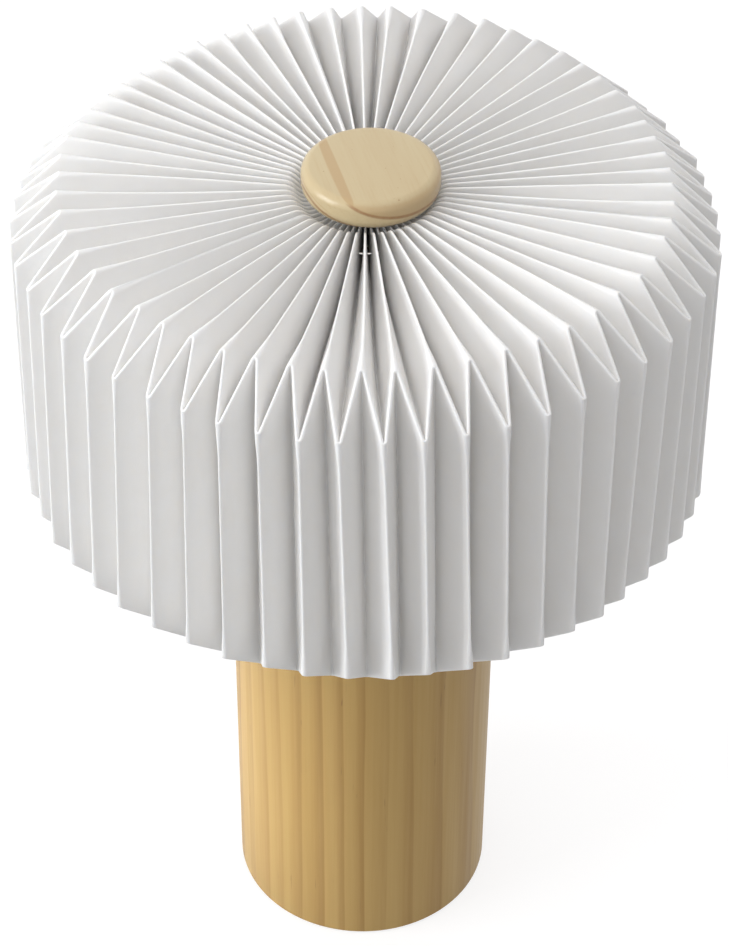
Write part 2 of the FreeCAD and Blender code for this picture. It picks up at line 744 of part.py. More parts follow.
def knob_washer():
    """Steel washer that the knob presses on the folds."""
    return on_hub(disc(KNOB_WASHER_R, knob_washer_foot, knob_foot, STUD_R + SEAT_GAP))


PIECES = {
    "base_block": base_block,
    "base_felt": base_felt,
    "inlet_bush": inlet_bush,
    "threaded_tube": threaded_tube,
    "tube_washer": tube_washer,
    "tube_nut": tube_nut,
    "holder_plate": holder_plate,
    "holder_cap": holder_cap,
    "holder_grub_screw": grub_screw,
    "holder_skirt": holder_skirt,
    "socket_block": socket_block,
    "terminal_screws": terminal_screws,
    "socket_screw_shell": screw_shell,
    "socket_contact_spring": contact_spring,
    "shade_ring_nut": shade_ring,
    "bulb_globe": bulb_globe,
    "bulb_collar": bulb_collar,
    "bulb_cap": bulb_cap,
    "bulb_insulator": bulb_insulator,
    "bulb_tip": bulb_tip,
    "carrier_ring": carrier_ring,
    "carrier_legs": carrier_legs,
    "hub_plate": hub_plate,
    "hub_stud": hub_stud,
    "hub_nuts": hub_nuts,
    "seat_washer": seat_washer,
    "shade_sheet_front": lambda: shade_sheet(0),
    "shade_sheet_right": lambda: shade_sheet(1),
    "shade_sheet_left": lambda: shade_sheet(2),
    "seam_tabs": seam_tabs,
    "tie_ring": tie_ring,
    "knob_washer": knob_washer,
    "knob": knob,
    "knob_insert": knob_insert,
}

os.makedirs("parts", exist_ok=True)
for name, make in PIECES.items():
    shape = make()
    shape.exportStep("parts/" + name + ".step")
    box = shape.optimalBoundingBox()
    corners = (box.XMin, box.XMax, box.YMin, box.YMax, box.ZMin, box.ZMax)
    print(f"{name:24s} valid={shape.isValid()} solids={len(shape.Solids)}", end=" ")
    print(f"volume={shape.Volume / 1000:9.3f} cm3", *(f"{corner:8.2f}" for corner in corners))
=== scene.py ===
"""Pleated paper table lamp: folded paper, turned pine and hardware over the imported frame.

Metres, +Z up, origin on the floor under the base, front at -Y.
"""

from __future__ import annotations

import json
import logging
import math
from dataclasses import dataclass
from enum import Enum

import bpy
import numpy as np
from mathutils import Matrix, Vector

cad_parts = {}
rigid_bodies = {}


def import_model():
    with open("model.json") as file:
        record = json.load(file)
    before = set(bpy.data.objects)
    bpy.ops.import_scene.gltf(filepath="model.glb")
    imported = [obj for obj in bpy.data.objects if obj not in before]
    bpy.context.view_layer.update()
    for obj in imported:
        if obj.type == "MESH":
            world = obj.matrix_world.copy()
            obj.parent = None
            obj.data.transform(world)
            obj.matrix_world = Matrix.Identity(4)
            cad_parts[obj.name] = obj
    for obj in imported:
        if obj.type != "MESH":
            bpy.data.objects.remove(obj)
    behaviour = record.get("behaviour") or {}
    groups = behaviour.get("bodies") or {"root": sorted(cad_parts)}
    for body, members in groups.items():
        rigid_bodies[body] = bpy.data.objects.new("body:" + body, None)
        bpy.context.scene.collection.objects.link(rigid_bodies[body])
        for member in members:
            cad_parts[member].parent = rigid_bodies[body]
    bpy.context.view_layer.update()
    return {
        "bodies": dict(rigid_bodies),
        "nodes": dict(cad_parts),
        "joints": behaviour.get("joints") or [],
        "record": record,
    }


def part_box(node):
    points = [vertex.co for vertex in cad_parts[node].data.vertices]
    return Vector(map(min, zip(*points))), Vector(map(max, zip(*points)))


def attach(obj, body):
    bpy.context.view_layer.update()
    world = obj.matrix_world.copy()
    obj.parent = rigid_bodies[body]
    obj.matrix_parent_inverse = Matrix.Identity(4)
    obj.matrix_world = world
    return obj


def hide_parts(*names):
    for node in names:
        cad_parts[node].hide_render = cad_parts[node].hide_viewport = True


LOG = logging.getLogger("lamp")
MM = 0.001
TAU = 2 * math.pi


# ------------------------------------------------------------------ arrays and meshes
def unit(vectors: np.ndarray) -> np.ndarray:
    """Scales vectors on the last axis to length 1."""
    return vectors / np.maximum(np.linalg.norm(vectors, axis=-1, keepdims=True), 1e-12)


def ramp(x: np.ndarray, reach: float) -> np.ndarray:
    """A ramp with a soft start: 0 up to -reach, x from reach on, and between them
    the parabola (x + reach)^2 / (4 reach), which meets both without a kink.

    Args:
        x: Any numbers.
        reach: Half the width of the soft part.

    Returns:
        The ramp at each x.
    """
    soft = (x + reach) ** 2 / (4 * reach)
    return np.where(x <= -reach, 0.0, np.where(x >= reach, x, soft))


def smooth(x: np.ndarray, low: float, high: float) -> np.ndarray:
    """The smooth step 3 t^2 - 2 t^3, where t goes from 0 at low to 1 at high.

    Args:
        x: Any numbers.
        low: Where the step starts.
        high: Where it ends.

    Returns:
        Numbers from 0 to 1.
    """
    t = np.clip((x - low) / (high - low), 0.0, 1.0)
    return t * t * (3 - 2 * t)


def turn_between(a: np.ndarray, b: np.ndarray, share: float) -> np.ndarray:
    """Unit vectors on the great circle from a to b, at a share of the way:
    (sin((1 - s) w) a + sin(s w) b) / sin w, where w is the angle between them.

    Args:
        a: Unit vectors on the last axis.
        b: Unit vectors on the last axis.
        share: 0 gives a and 1 gives b.

    Returns:
        Unit vectors.
    """
    angle = np.arccos(np.clip((a * b).sum(-1, keepdims=True), -1.0, 1.0))
    angle = np.maximum(angle, 1e-6)
    return unit(np.sin((1 - share) * angle) * a + np.sin(share * angle) * b)


def add_mesh(
    name: str,
    points: np.ndarray,
    quads: np.ndarray,
    triangles: np.ndarray | None = None,
    sharp_over: float | None = None,
) -> bpy.types.Object:
    """Makes a smooth-shaded mesh object at the origin from whole arrays.

    Args:
        name: Name of the piece.
        points: Corners, n by 3, in metres.
        quads: Corner numbers of the four-sided faces, n by 4.
        triangles: Corner numbers of the three-sided faces, n by 3.
        sharp_over: Edges that turn more than this angle stay sharp, in radians.

    Returns:
        The object, linked to the scene.
    """
    if triangles is None:
        triangles = np.empty((0, 3), int)
    mesh = bpy.data.meshes.new(name)
    mesh.vertices.add(len(points))
    mesh.vertices.foreach_set("co", np.ascontiguousarray(points, np.float32).ravel())
    corners = np.concatenate([quads.ravel(), triangles.ravel()]).astype(np.int32)
    starts = np.concatenate(
        [np.arange(len(quads)) * 4, quads.size + np.arange(len(triangles)) * 3]
    )
    mesh.loops.add(len(corners))
    mesh.loops.foreach_set("vertex_index", corners)
    mesh.polygons.add(len(starts))
    mesh.polygons.foreach_set("loop_start", starts.astype(np.int32))
    mesh.polygons.foreach_set("use_smooth", np.ones(len(starts), bool))
    mesh.update(calc_edges=True)
    mesh.validate()
    if sharp_over is not None:
        mesh.set_sharp_from_angle(angle=sharp_over)
    piece = bpy.data.objects.new(name, mesh)
    bpy.context.scene.collection.objects.link(piece)
    return piece


def grid_quads(across: int, along: int, start: int = 0, flip: bool = False) -> np.ndarray:
    """Faces of a grid of corners, numbered row by row along each column.

    Args:
        across: Number of columns.
        along: Number of corners in a column.
        start: Number of the first corner.
        flip: Turns the faces over.

    Returns:
        Corner numbers, n by 4, anticlockwise where columns cross rows.
    """
    number = start + np.arange(across * along).reshape(across, along)
    around = [number[:-1, :-1], number[1:, :-1], number[1:, 1:], number[:-1, 1:]]
    faces = np.stack([part.ravel() for part in around], axis=1)
    return faces[:, ::-1] if flip else faces


def rim_quads(across: int, along: int) -> np.ndarray:
    """Faces that close the four edges between an outer grid and the inner grid
    whose corners are numbered after it.

    Args:
        across: Number of columns.
        along: Number of corners in a column.

    Returns:
        Corner numbers, n by 4.
    """
    number = np.arange(across * along).reshape(across, along)
    loop = np.concatenate(
        [number[:, 0], number[-1, 1:], number[-2::-1, -1], number[0, -2:0:-1]]
    )
    after = np.roll(loop, -1)
    inner = across * along
    return np.stack([after, loop, loop + inner, after + inner], axis=1)


def arc(centre: tuple[float, float], radius: float, start: float, end: float, steps: int) -> list:
    """Points (r, z) on an arc of an outline, angles in degrees from outwards to up.

    Args:
        centre: (r, z) of the arc's centre.
        radius: Its radius.
        start: First angle.
        end: Last angle.
        steps: Number of parts.

    Returns:
        steps + 1 points.
    """
    turns = np.radians(np.linspace(start, end, steps + 1))
    return [(centre[0] + radius * math.cos(t), centre[1] + radius * math.sin(t)) for t in turns]


def turned(
    name: str, outline: list, centre: tuple[float, float], segments: int = 192
) -> bpy.types.Object:
    """Turns an outline round a vertical axis: each point (r, z) becomes the ring
    (cx + r cos t, cy + r sin t, z).  Ends on the axis close to one corner.

    Args:
        name: Name of the piece.
        outline: Points (r, z) from the bottom of the axis, round the outside, to its top.
        centre: (x, y) of the axis.
        segments: Number of corners in a ring.

    Returns:
        The closed mesh object.
    """
    profile = np.array(outline, float)
    ring = profile[1:-1]
    turn = np.arange(segments) * TAU / segments
    x = centre[0] + np.cos(turn)[:, None] * ring[None, :, 0]
    y = centre[1] + np.sin(turn)[:, None] * ring[None, :, 0]
    z = np.broadcast_to(ring[None, :, 1], x.shape)
    points = np.stack([x, y, z], axis=-1).reshape(-1, 3)
    poles = [(centre[0], centre[1], profile[0, 1]), (centre[0], centre[1], profile[-1, 1])]
    count = len(ring)
    number = np.arange(segments * count).reshape(segments, count)
    after = np.roll(number, -1, axis=0)
    around = [number[:, :-1], after[:, :-1], after[:, 1:], number[:, 1:]]
    quads = np.stack([part.ravel() for part in around], axis=1)
    low = np.full(segments, segments * count)
    bottom = np.stack([low, after[:, 0], number[:, 0]], axis=1)
    top = np.stack([low + 1, number[:, -1], after[:, -1]], axis=1)
    triangles = np.concatenate([bottom, top])
    return add_mesh(name, np.concatenate([points, poles]), quads, triangles, math.radians(40))


# ------------------------------------------------------------------ shader wiring
class Weaver:
    """Adds nodes to one tree.  A value is a number, a tuple or another node's socket."""

    def __init__(self, tree: bpy.types.NodeTree) -> None:
        """Keeps the tree."""
        self.tree = tree

    def set(self, socket: bpy.types.NodeSocket, value: object) -> None:
        """Links a socket's value in, or sets a number or colour on the input."""
        if isinstance(value, bpy.types.NodeSocket):
            self.tree.links.new(value, socket)
        else:
            socket.default_value = value

    def add(self, kind: str, settings: dict | None = None, **values: object) -> bpy.types.Node:
        """Adds a node.

        Args:
            kind: Type name of the node, without its ShaderNode prefix.
            settings: Properties of the node itself.
            **values: Its inputs by name, with _ for a space.

        Returns:
            The node.
        """
        node = self.tree.nodes.new("ShaderNode" + kind)
        for key, value in (settings or {}).items():
            setattr(node, key, value)
        for key, value in values.items():
            self.set(node.inputs[key.replace("_", " ")], value)
        return node

    def math(self, operation: str, *terms: object, clamp: bool = False) -> bpy.types.NodeSocket:
        """A Math node's result for one, two or three terms."""
        node = self.add("Math", {"operation": operation, "use_clamp": clamp})
        for socket, term in zip(node.inputs, terms):
            self.set(socket, term)
        return node.outputs[0]

    def object_point(
        self,
        scale: tuple = (1.0, 1.0, 1.0),
        shift: tuple = (0.0, 0.0, 0.0),
        turn: float = 0.0,
    ) -> bpy.types.NodeSocket:
        """The object's own coordinates, shifted, turned round Z and stretched.

        Args:
            scale: Stretch along each axis.
            shift: Move before the stretch, in metres.
            turn: Turn round Z before the stretch, in radians.

        Returns:
            Vector socket.
        """
        point = self.add("TexCoord").outputs["Object"]
        if any(shift) or turn:
            point = self.add(
                "Mapping", {"vector_type": "TEXTURE"}, Vector=point, Location=shift, Rotation=(0, 0, turn)
            ).outputs[0]
        if scale != (1.0, 1.0, 1.0):
            point = self.add("Mapping", Vector=point, Scale=scale).outputs[0]
        return point

    def noise(
        self, point: object, scale: float, detail: float = 3.0, rough: float = 0.5
    ) -> bpy.types.NodeSocket:
        """A Noise Texture's value, about 0.5 on average."""
        node = self.add("TexNoise", Vector=point, Scale=scale, Detail=detail, Roughness=rough)
        return node.outputs["Fac"]

    def step(self, value: object, low: float, high: float, top: float = 1.0) -> bpy.types.NodeSocket:
        """A smooth step of a value, from 0 at low to top at high."""
        node = self.add(
            "MapRange",
            {"interpolation_type": "SMOOTHSTEP"},
            Value=value,
            From_Min=low,
            From_Max=high,
            To_Min=0.0,
            To_Max=top,
        )
        return node.outputs[0]

    def mix(self, share: object, a: object, b: object, blend: str = "MIX") -> bpy.types.NodeSocket:
        """Mixes two colours."""
        node = self.add("Mix", {"data_type": "RGBA", "blend_type": blend})
        self.set(node.inputs[0], share)
        for socket, value in ((node.inputs[6], a), (node.inputs[7], b)):
            self.set(socket, (*value, 1.0) if isinstance(value, tuple) and len(value) == 3 else value)
        return node.outputs[2]

    def between(self, share: object, low: object, high: object) -> bpy.types.NodeSocket:
        """A number that goes from low to high with share."""
        node = self.add("Mix", {"data_type": "FLOAT"})
        self.set(node.inputs[0], share)
        self.set(node.inputs[2], low)
        self.set(node.inputs[3], high)
        return node.outputs[0]

    def bump(self, height: object, distance: float, strength: float = 1.0) -> bpy.types.NodeSocket:
        """A Bump node's normal, with the height's full depth in metres."""
        return self.add("Bump", Height=height, Distance=distance, Strength=strength).outputs[0]

    def group(self, tree: bpy.types.NodeTree, **values: object) -> bpy.types.Node:
        """Places a node group with its own values."""
        node = self.add("Group", {"node_tree": tree})
        for key, value in values.items():
            self.set(node.inputs[key.replace("_", " ")], value)
        return node


def new_group(name: str, inputs: dict, outputs: dict) -> tuple:
    """Starts a shader node group.

    Args:
        name: Name of the group.
        inputs: Socket type by input name, with its default: ("NodeSocketFloat", 1.0).
        outputs: Socket type by output name.

    Returns:
        The tree, its Weaver, the input sockets' node and the output node.
    """
    tree = bpy.data.node_groups.new(name, "ShaderNodeTree")
    for key, (kind, default) in inputs.items():
        socket = tree.interface.new_socket(key, in_out="INPUT", socket_type=kind)
        if default is not None:
            socket.default_value = default
    for key, kind in outputs.items():
        tree.interface.new_socket(key, in_out="OUTPUT", socket_type=kind)
    weave = Weaver(tree)
    return tree, weave, weave.tree.nodes.new("NodeGroupInput"), weave.tree.nodes.new("NodeGroupOutput")


class Effects:
    """Node groups that several finishes share, built once."""

    _made: dict = {}

    @classmethod
    def relief(cls) -> bpy.types.NodeTree:
        """Fine relief: two sizes of noise.  Gives a height and a slow mottle."""
        if "relief" not in cls._made:
            tree, weave, given, result = new_group(
                "fine relief",
                {"Point": ("NodeSocketVector", None), "Scale": ("NodeSocketFloat", 900.0)},
                {"Height": "NodeSocketFloat", "Mottle": "NodeSocketFloat"},
            )
            fine = weave.add("TexNoise", Detail=4.0, Roughness=0.6)
            slow = weave.add("TexNoise", Detail=3.0)
            tree.links.new(given.outputs["Point"], fine.inputs["Vector"])
            tree.links.new(given.outputs["Point"], slow.inputs["Vector"])
            tree.links.new(given.outputs["Scale"], fine.inputs["Scale"])
            weave.set(slow.inputs["Scale"], weave.math("MULTIPLY", given.outputs["Scale"], 0.05))
            weave.set(result.inputs["Height"], fine.outputs["Fac"])
            weave.set(result.inputs["Mottle"], weave.step(slow.outputs["Fac"], 0.3, 0.7))
            cls._made["relief"] = tree
        return cls._made["relief"]

    @classmethod
    def turning(cls) -> bpy.types.NodeTree:
        """Marks of the lathe or die: fine rings round Z, from the radius and the height."""
        if "turning" not in cls._made:
            tree, weave, given, result = new_group(
                "turning marks",
                {"Point": ("NodeSocketVector", None), "Pitch": ("NodeSocketFloat", 0.0004)},
                {"Height": "NodeSocketFloat"},
            )
            parts = weave.add("SeparateXYZ", Vector=given.outputs["Point"])
            x, y, z = parts.outputs
            square = weave.math("ADD", weave.math("MULTIPLY", x, x), weave.math("MULTIPLY", y, y))
            way = weave.math("ADD", weave.math("SQRT", square), weave.math("MULTIPLY", z, 0.9))
            count = weave.math("DIVIDE", way, given.outputs["Pitch"])
            marks = weave.add("TexNoise", {"noise_dimensions": "1D"}, W=count, Scale=1.0, Detail=2.0)
            weave.set(result.inputs["Height"], marks.outputs["Fac"])
            cls._made["turning"] = tree
        return cls._made["turning"]

    @classmethod
    def fibres(cls) -> bpy.types.NodeTree:
        """Long wood fibres along Z: streaks, and the few dark dashes of resin canals."""
        if "fibres" not in cls._made:
            tree, weave, given, result = new_group(
                "wood fibres",
                {"Point": ("NodeSocketVector", None), "Dashes": ("NodeSocketFloat", 1.0)},
                {"Streak": "NodeSocketFloat", "Dash": "NodeSocketFloat", "Height": "NodeSocketFloat"},
            )
            point = given.outputs["Point"]
            long = weave.add("Mapping", Vector=point, Scale=(1.0, 1.0, 0.02)).outputs[0]
            short = weave.add("Mapping", Vector=point, Scale=(1.0, 1.0, 0.06)).outputs[0]
            streak = weave.noise(long, 420.0, 4.0, 0.62)
            dash = weave.noise(short, 1150.0, 1.5, 0.5)
            patch = weave.step(weave.noise(short, 160.0, 2.0), 0.45, 0.66)
            dash = weave.math("MULTIPLY", weave.step(dash, 0.665, 0.74), patch)
            weave.set(result.inputs["Streak"], weave.step(streak, 0.25, 0.75))
            weave.set(result.inputs["Dash"], weave.math("MULTIPLY", dash, given.outputs["Dashes"]))
            weave.set(result.inputs["Height"], weave.noise(long, 900.0, 3.0, 0.6))
            cls._made["fibres"] = tree
        return cls._made["fibres"]


def shader(name: str) -> tuple:
    """Starts a material.

    Args:
        name: Name of the finish.

    Returns:
        The material, its Weaver and its Principled node.
    """
    material = bpy.data.materials.new(name)
    material.use_nodes = True
    return material, Weaver(material.node_tree), material.node_tree.nodes["Principled BSDF"]


# ------------------------------------------------------------------ finishes
@dataclass(frozen=True)
class Paper:
    """White coated paper.  Folds are painted lighter from the mesh's crease attribute: partly burnished
    paper, partly a painted highlight on the folds that catch the light.
    """

    name: str = "white folded paper"
    colour: tuple = (0.93, 0.92, 0.905)
    warm: tuple = (0.922, 0.908, 0.886)
    fold_highlight_colour: tuple = (0.94, 0.935, 0.925)
    roughness: float = 0.52

    def build(self) -> bpy.types.Material:
        """Builds the material."""
        material, weave, skin = shader(self.name)
        point = weave.object_point()
        relief = weave.group(Effects.relief(), Point=point, Scale=1400.0)
        crease = weave.add("Attribute", {"attribute_name": "crease"}).outputs["Fac"]
        body = weave.mix(relief.outputs["Mottle"], self.colour, self.warm)
        # The crease attribute paints the folds lighter: partly burnish, partly a painted highlight.
        weave.set(skin.inputs["Base Color"], weave.mix(crease, body, self.fold_highlight_colour))
        gloss = weave.between(relief.outputs["Height"], self.roughness - 0.06, self.roughness + 0.06)
        weave.set(skin.inputs["Roughness"], weave.between(crease, gloss, self.roughness - 0.16))
        weave.set(skin.inputs["Normal"], weave.bump(relief.outputs["Height"], 0.00004, 0.35))
        skin.inputs["Specular IOR Level"].default_value = 0.4
        skin.inputs["Subsurface Weight"].default_value = 1.0
        skin.inputs["Subsurface Radius"].default_value = (0.5 * MM, 0.48 * MM, 0.45 * MM)
        skin.inputs["Subsurface Scale"].default_value = 1.0
        return material


@dataclass(frozen=True)
class BasePine:
    """Lacquered pine of the base: growth rings round a far pith, cut lengthways."""

    name: str = "lacquered pine, upright grain"
    pale: tuple = (0.52, 0.35, 0.125)
    honey: tuple = (0.42, 0.26, 0.075)
    late: tuple = (0.28, 0.145, 0.035)
    dash: tuple = (0.20, 0.11, 0.05)
    pith: tuple = (-0.262, 0.055)
    ring: float = 8.6 * MM

    def build(self) -> bpy.types.Material:
        """Builds the material."""
        material, weave, skin = shader(self.name)
        point = weave.object_point()
        slow = weave.object_point(scale=(1.0, 1.0, 0.12))
        sway = weave.math("SUBTRACT", weave.noise(slow, 22.0, 2.0), 0.5)
        fine_sway = weave.math("SUBTRACT", weave.noise(slow, 90.0, 2.0), 0.5)
        centred = weave.object_point(shift=(*self.pith, 0.0))
        x, y, _ = weave.add("SeparateXYZ", Vector=centred).outputs
        square = weave.math("ADD", weave.math("MULTIPLY", x, x), weave.math("MULTIPLY", y, y))
        away = weave.math("MULTIPLY_ADD", sway, 9.0 * MM, weave.math("SQRT", square))
        away = weave.math("MULTIPLY_ADD", fine_sway, 1.6 * MM, away)
        year = weave.math("DIVIDE", away, self.ring)
        grown = weave.math("FRACT", year)
        rise = weave.step(grown, 0.25, 0.93)
        fall = weave.step(grown, 0.93, 1.0)
        late = weave.math("MULTIPLY", rise, weave.math("SUBTRACT", 1.0, fall))
        number = weave.math("FLOOR", year)
        strength = weave.add("TexWhiteNoise", {"noise_dimensions": "1D"}, W=number).outputs["Value"]
        late = weave.math("MULTIPLY", late, weave.between(strength, 0.35, 1.0))
        fibres = weave.group(Effects.fibres(), Point=point, Dashes=1.0)
        wide = weave.noise(weave.object_point(scale=(1.0, 1.0, 0.05)), 60.0, 2.0)
        body = weave.mix(weave.step(wide, 0.3, 0.72, 0.55), self.pale, self.honey)
        line = weave.math("POWER", late, 2.2)
        body = weave.mix(weave.math("MULTIPLY", late, 0.45), body, self.honey)
        body = weave.mix(weave.math("MULTIPLY", line, 0.6), body, self.late)
        streaked = weave.math("MULTIPLY", fibres.outputs["Streak"], weave.between(late, 0.12, 0.4))
        body = weave.mix(streaked, body, self.late)
        dash = weave.math("MULTIPLY", fibres.outputs["Dash"], weave.between(late, 0.15, 0.95))
        weave.set(skin.inputs["Base Color"], weave.mix(dash, body, self.dash))
        weave.set(skin.inputs["Roughness"], weave.between(fibres.outputs["Streak"], 0.4, 0.52))
        weave.set(skin.inputs["Normal"], weave.bump(fibres.outputs["Height"], 0.00008, 0.5))
        skin.inputs["Specular IOR Level"].default_value = 0.3
        skin.inputs["Coat Weight"].default_value = 0.08
        skin.inputs["Coat Roughness"].default_value = 0.3
        return material


@dataclass(frozen=True)
class KnobPine:
    """Pine of the knob: a tan growth layer that leaves through the top as a slanting
    band and runs round the side as a brown line, and a second line below it."""

    name: str = "lacquered pine, lying grain"
    pale: tuple = (0.58, 0.475, 0.28)
    tan: tuple = (0.48, 0.325, 0.155)
    brown: tuple = (0.31, 0.15, 0.055)
    across_way: float = math.radians(15.0)

    def layer(self, weave: Weaver, across: object, foot: float, rise: float, start: float, run: float):
        """Height of a growth layer: foot + rise exp(-(across - start) / run).

        Args:
            weave: The material's Weaver.
            across: Distance across the grain.
            foot: Height far to the right.
            rise: Height above the foot at the start.
            start: Where the rise is reached.
            run: Distance over which the rise falls to 37 per cent.

        Returns:
            Socket with the height in metres over the knob's foot.
        """
        away = weave.math("DIVIDE", weave.math("SUBTRACT", start, across), run)
        return weave.math("MULTIPLY_ADD", weave.math("EXPONENT", away), rise, foot)

    def build(self, axis: tuple[float, float], foot: float) -> bpy.types.Material:
        """Builds the material.

        Args:
            axis: (x, y) of the knob's axis.
            foot: Height of the knob's underside.

        Returns:
            The material.
        """
        material, weave, skin = shader(self.name)
        point = weave.object_point(shift=(*axis, foot), turn=self.across_way)
        x, y, z = weave.add("SeparateXYZ", Vector=point).outputs
        along = weave.add("Mapping", Vector=point, Scale=(1.0, 0.12, 1.0)).outputs[0]
        sway = weave.math("SUBTRACT", weave.noise(along, 130.0, 2.0), 0.5)
        x = weave.math("MULTIPLY_ADD", sway, 0.9 * MM, x)
        low = self.layer(weave, x, 4.4 * MM, 5.8 * MM, -12.0 * MM, 10.5 * MM)
        over = weave.math("SUBTRACT", z, low)
        inside = weave.step(over, -0.3 * MM, 0.3 * MM)
        left = weave.step(x, -11.1 * MM, -11.7 * MM)
        # The layer is painted tan on the side below the top's rounding: partly the growth layer's colour,
        # partly painted shade of the side that faces away from the light.
        side_layer_and_shade = weave.step(z, 11.6 * MM, 10.2 * MM, 0.75)
        layer = weave.math("MULTIPLY", inside, weave.math("MAXIMUM", left, side_layer_and_shade))
        line = weave.math("SUBTRACT", 1.0, weave.step(weave.math("ABSOLUTE", over), 0.25 * MM, 0.95 * MM))
        line = weave.math("MULTIPLY", line, weave.step(z, 11.2 * MM, 9.9 * MM))
        second = self.layer(weave, x, 1.1 * MM, 3.0 * MM, -19.7 * MM, 6.5 * MM)
        gap = weave.math("ABSOLUTE", weave.math("SUBTRACT", z, second))
        line_two = weave.math("SUBTRACT", 1.0, weave.step(gap, 0.25 * MM, 0.85 * MM))
        line_two = weave.math("MULTIPLY", line_two, weave.step(x, -4.0 * MM, -13.0 * MM))
        upper = weave.math("ABSOLUTE", weave.math("SUBTRACT", weave.math("SUBTRACT", z, second), 2.0 * MM))
        faint = weave.math("SUBTRACT", 1.0, weave.step(upper, 0.1 * MM, 0.5 * MM))
        faint = weave.math("MULTIPLY", faint, weave.step(x, -17.0 * MM, -22.0 * MM, 0.5))
        lines = weave.math("MAXIMUM", line, line_two)
        long = weave.add("Mapping", Vector=point, Scale=(1.0, 0.05, 1.0)).outputs[0]
        fibre = weave.noise(long, 900.0, 3.0)
        mottle = weave.noise(along, 75.0, 3.0)
        body = weave.mix(weave.step(mottle, 0.3, 0.75, 0.35), self.pale, self.tan)
        body = weave.mix(weave.step(fibre, 0.45, 0.8, 0.25), body, self.tan)
        body = weave.mix(weave.math("MULTIPLY", layer, 0.8), body, self.tan)
        body = weave.mix(faint, body, self.tan)
        broken = weave.between(weave.noise(point, 800.0, 2.0), 0.55, 1.0)
        body = weave.mix(weave.math("MULTIPLY", lines, broken), body, self.brown)
        pores = weave.step(weave.noise(point, 620.0, 1.0), 0.76, 0.8, 0.7)
        weave.set(skin.inputs["Base Color"], weave.mix(pores, body, self.brown))
        weave.set(skin.inputs["Roughness"], weave.between(fibre, 0.26, 0.4))
        weave.set(skin.inputs["Normal"], weave.bump(weave.noise(point, 300.0, 3.0), 0.00012, 0.3))
        skin.inputs["Coat Weight"].default_value = 0.4
        skin.inputs["Coat Roughness"].default_value = 0.2
        return material


class Working(Enum):
    """How a metal surface was worked, with its relief pitch in metres and depth."""

    TURNED = (0.00035, 0.00003)
    DRAWN = (0.00018, 0.000015)
    PLATED = (0.0009, 0.00001)


@dataclass(frozen=True)
class Metal:
    """Plated, turned or drawn metal."""

    name: str
    colour: tuple
    shade: tuple
    roughness: float
    working: Working = Working.PLATED

    def build(self) -> bpy.types.Material:
        """Builds the material."""
        material, weave, skin = shader(self.name)
        pitch, depth = self.working.value
        point = weave.object_point()
        marks = weave.group(Effects.turning(), Point=point, Pitch=pitch)
        relief = weave.group(Effects.relief(), Point=point, Scale=700.0)
        weave.set(skin.inputs["Base Color"], weave.mix(relief.outputs["Mottle"], self.colour, self.shade))
        weave.set(
            skin.inputs["Roughness"],
            weave.between(relief.outputs["Height"], self.roughness - 0.08, self.roughness + 0.1),
        )
        weave.set(skin.inputs["Normal"], weave.bump(marks.outputs["Height"], depth, 0.6))
        skin.inputs["Metallic"].default_value = 1.0
        return material


@dataclass(frozen=True)
class Moulded:
    """Moulded, glazed, pressed or painted matter: plastic, porcelain, paint, fibre."""

    name: str
    colour: tuple
    shade: tuple
    roughness: float
    grain: float = 1200.0
    depth: float = 0.00002
    coat: float = 0.0

    def build(self) -> bpy.types.Material:
        """Builds the material."""
        material, weave, skin = shader(self.name)
        relief = weave.group(Effects.relief(), Point=weave.object_point(), Scale=self.grain)
        weave.set(skin.inputs["Base Color"], weave.mix(relief.outputs["Mottle"], self.colour, self.shade))
        weave.set(
            skin.inputs["Roughness"],
            weave.between(relief.outputs["Height"], self.roughness - 0.05, self.roughness + 0.07),
        )
        weave.set(skin.inputs["Normal"], weave.bump(relief.outputs["Height"], self.depth, 0.5))
        skin.inputs["Coat Weight"].default_value = self.coat
        skin.inputs["Coat Roughness"].default_value = 0.08
        return material


@dataclass(frozen=True)
class Felt:
    """Wool felt: tangled fibres, no gloss."""

    name: str = "wool felt"
    colour: tuple = (0.16, 0.15, 0.135)
    fibre: tuple = (0.30, 0.285, 0.26)

    def build(self) -> bpy.types.Material:
        """Builds the material."""
        material, weave, skin = shader(self.name)
        bent = weave.add("TexNoise", Vector=weave.object_point(), Scale=220.0, Detail=2.0)
        way = weave.add("VectorMath", {"operation": "MULTIPLY_ADD"})
        weave.set(way.inputs[0], bent.outputs["Color"])
        way.inputs[1].default_value = (0.004, 0.004, 0.004)
        weave.set(way.inputs[2], weave.object_point())
        tangled = weave.add("Mapping", Vector=way.outputs[0], Scale=(1.0, 0.8, 1.0)).outputs[0]
        hairs = weave.noise(tangled, 2200.0)
        colour = weave.mix(weave.step(hairs, 0.35, 0.75), self.colour, self.fibre)
        weave.set(skin.inputs["Base Color"], colour)
        weave.set(skin.inputs["Normal"], weave.bump(hairs, 0.0003, 0.8))
        skin.inputs["Roughness"].default_value = 0.95
        skin.inputs["Sheen Weight"].default_value = 0.3
        return material


@dataclass(frozen=True)
class Glass:
    """Opal or dark glass."""

    name: str
    colour: tuple
    roughness: float
    milk: float = 0.0

    def build(self) -> bpy.types.Material:
        """Builds the material."""
        material, weave, skin = shader(self.name)
        relief = weave.group(Effects.relief(), Point=weave.object_point(), Scale=260.0)
        tint = tuple(0.96 * part for part in self.colour)
        weave.set(skin.inputs["Base Color"], weave.mix(relief.outputs["Mottle"], self.colour, tint))
        weave.set(skin.inputs["Normal"], weave.bump(relief.outputs["Height"], 0.00001, 0.2))
        skin.inputs["Roughness"].default_value = self.roughness
        skin.inputs["Subsurface Weight"].default_value = self.milk
        skin.inputs["Subsurface Radius"].default_value = (0.004, 0.004, 0.004)
        skin.inputs["Coat Weight"].default_value = 0.5
        skin.inputs["Coat Roughness"].default_value = 0.04
        return material


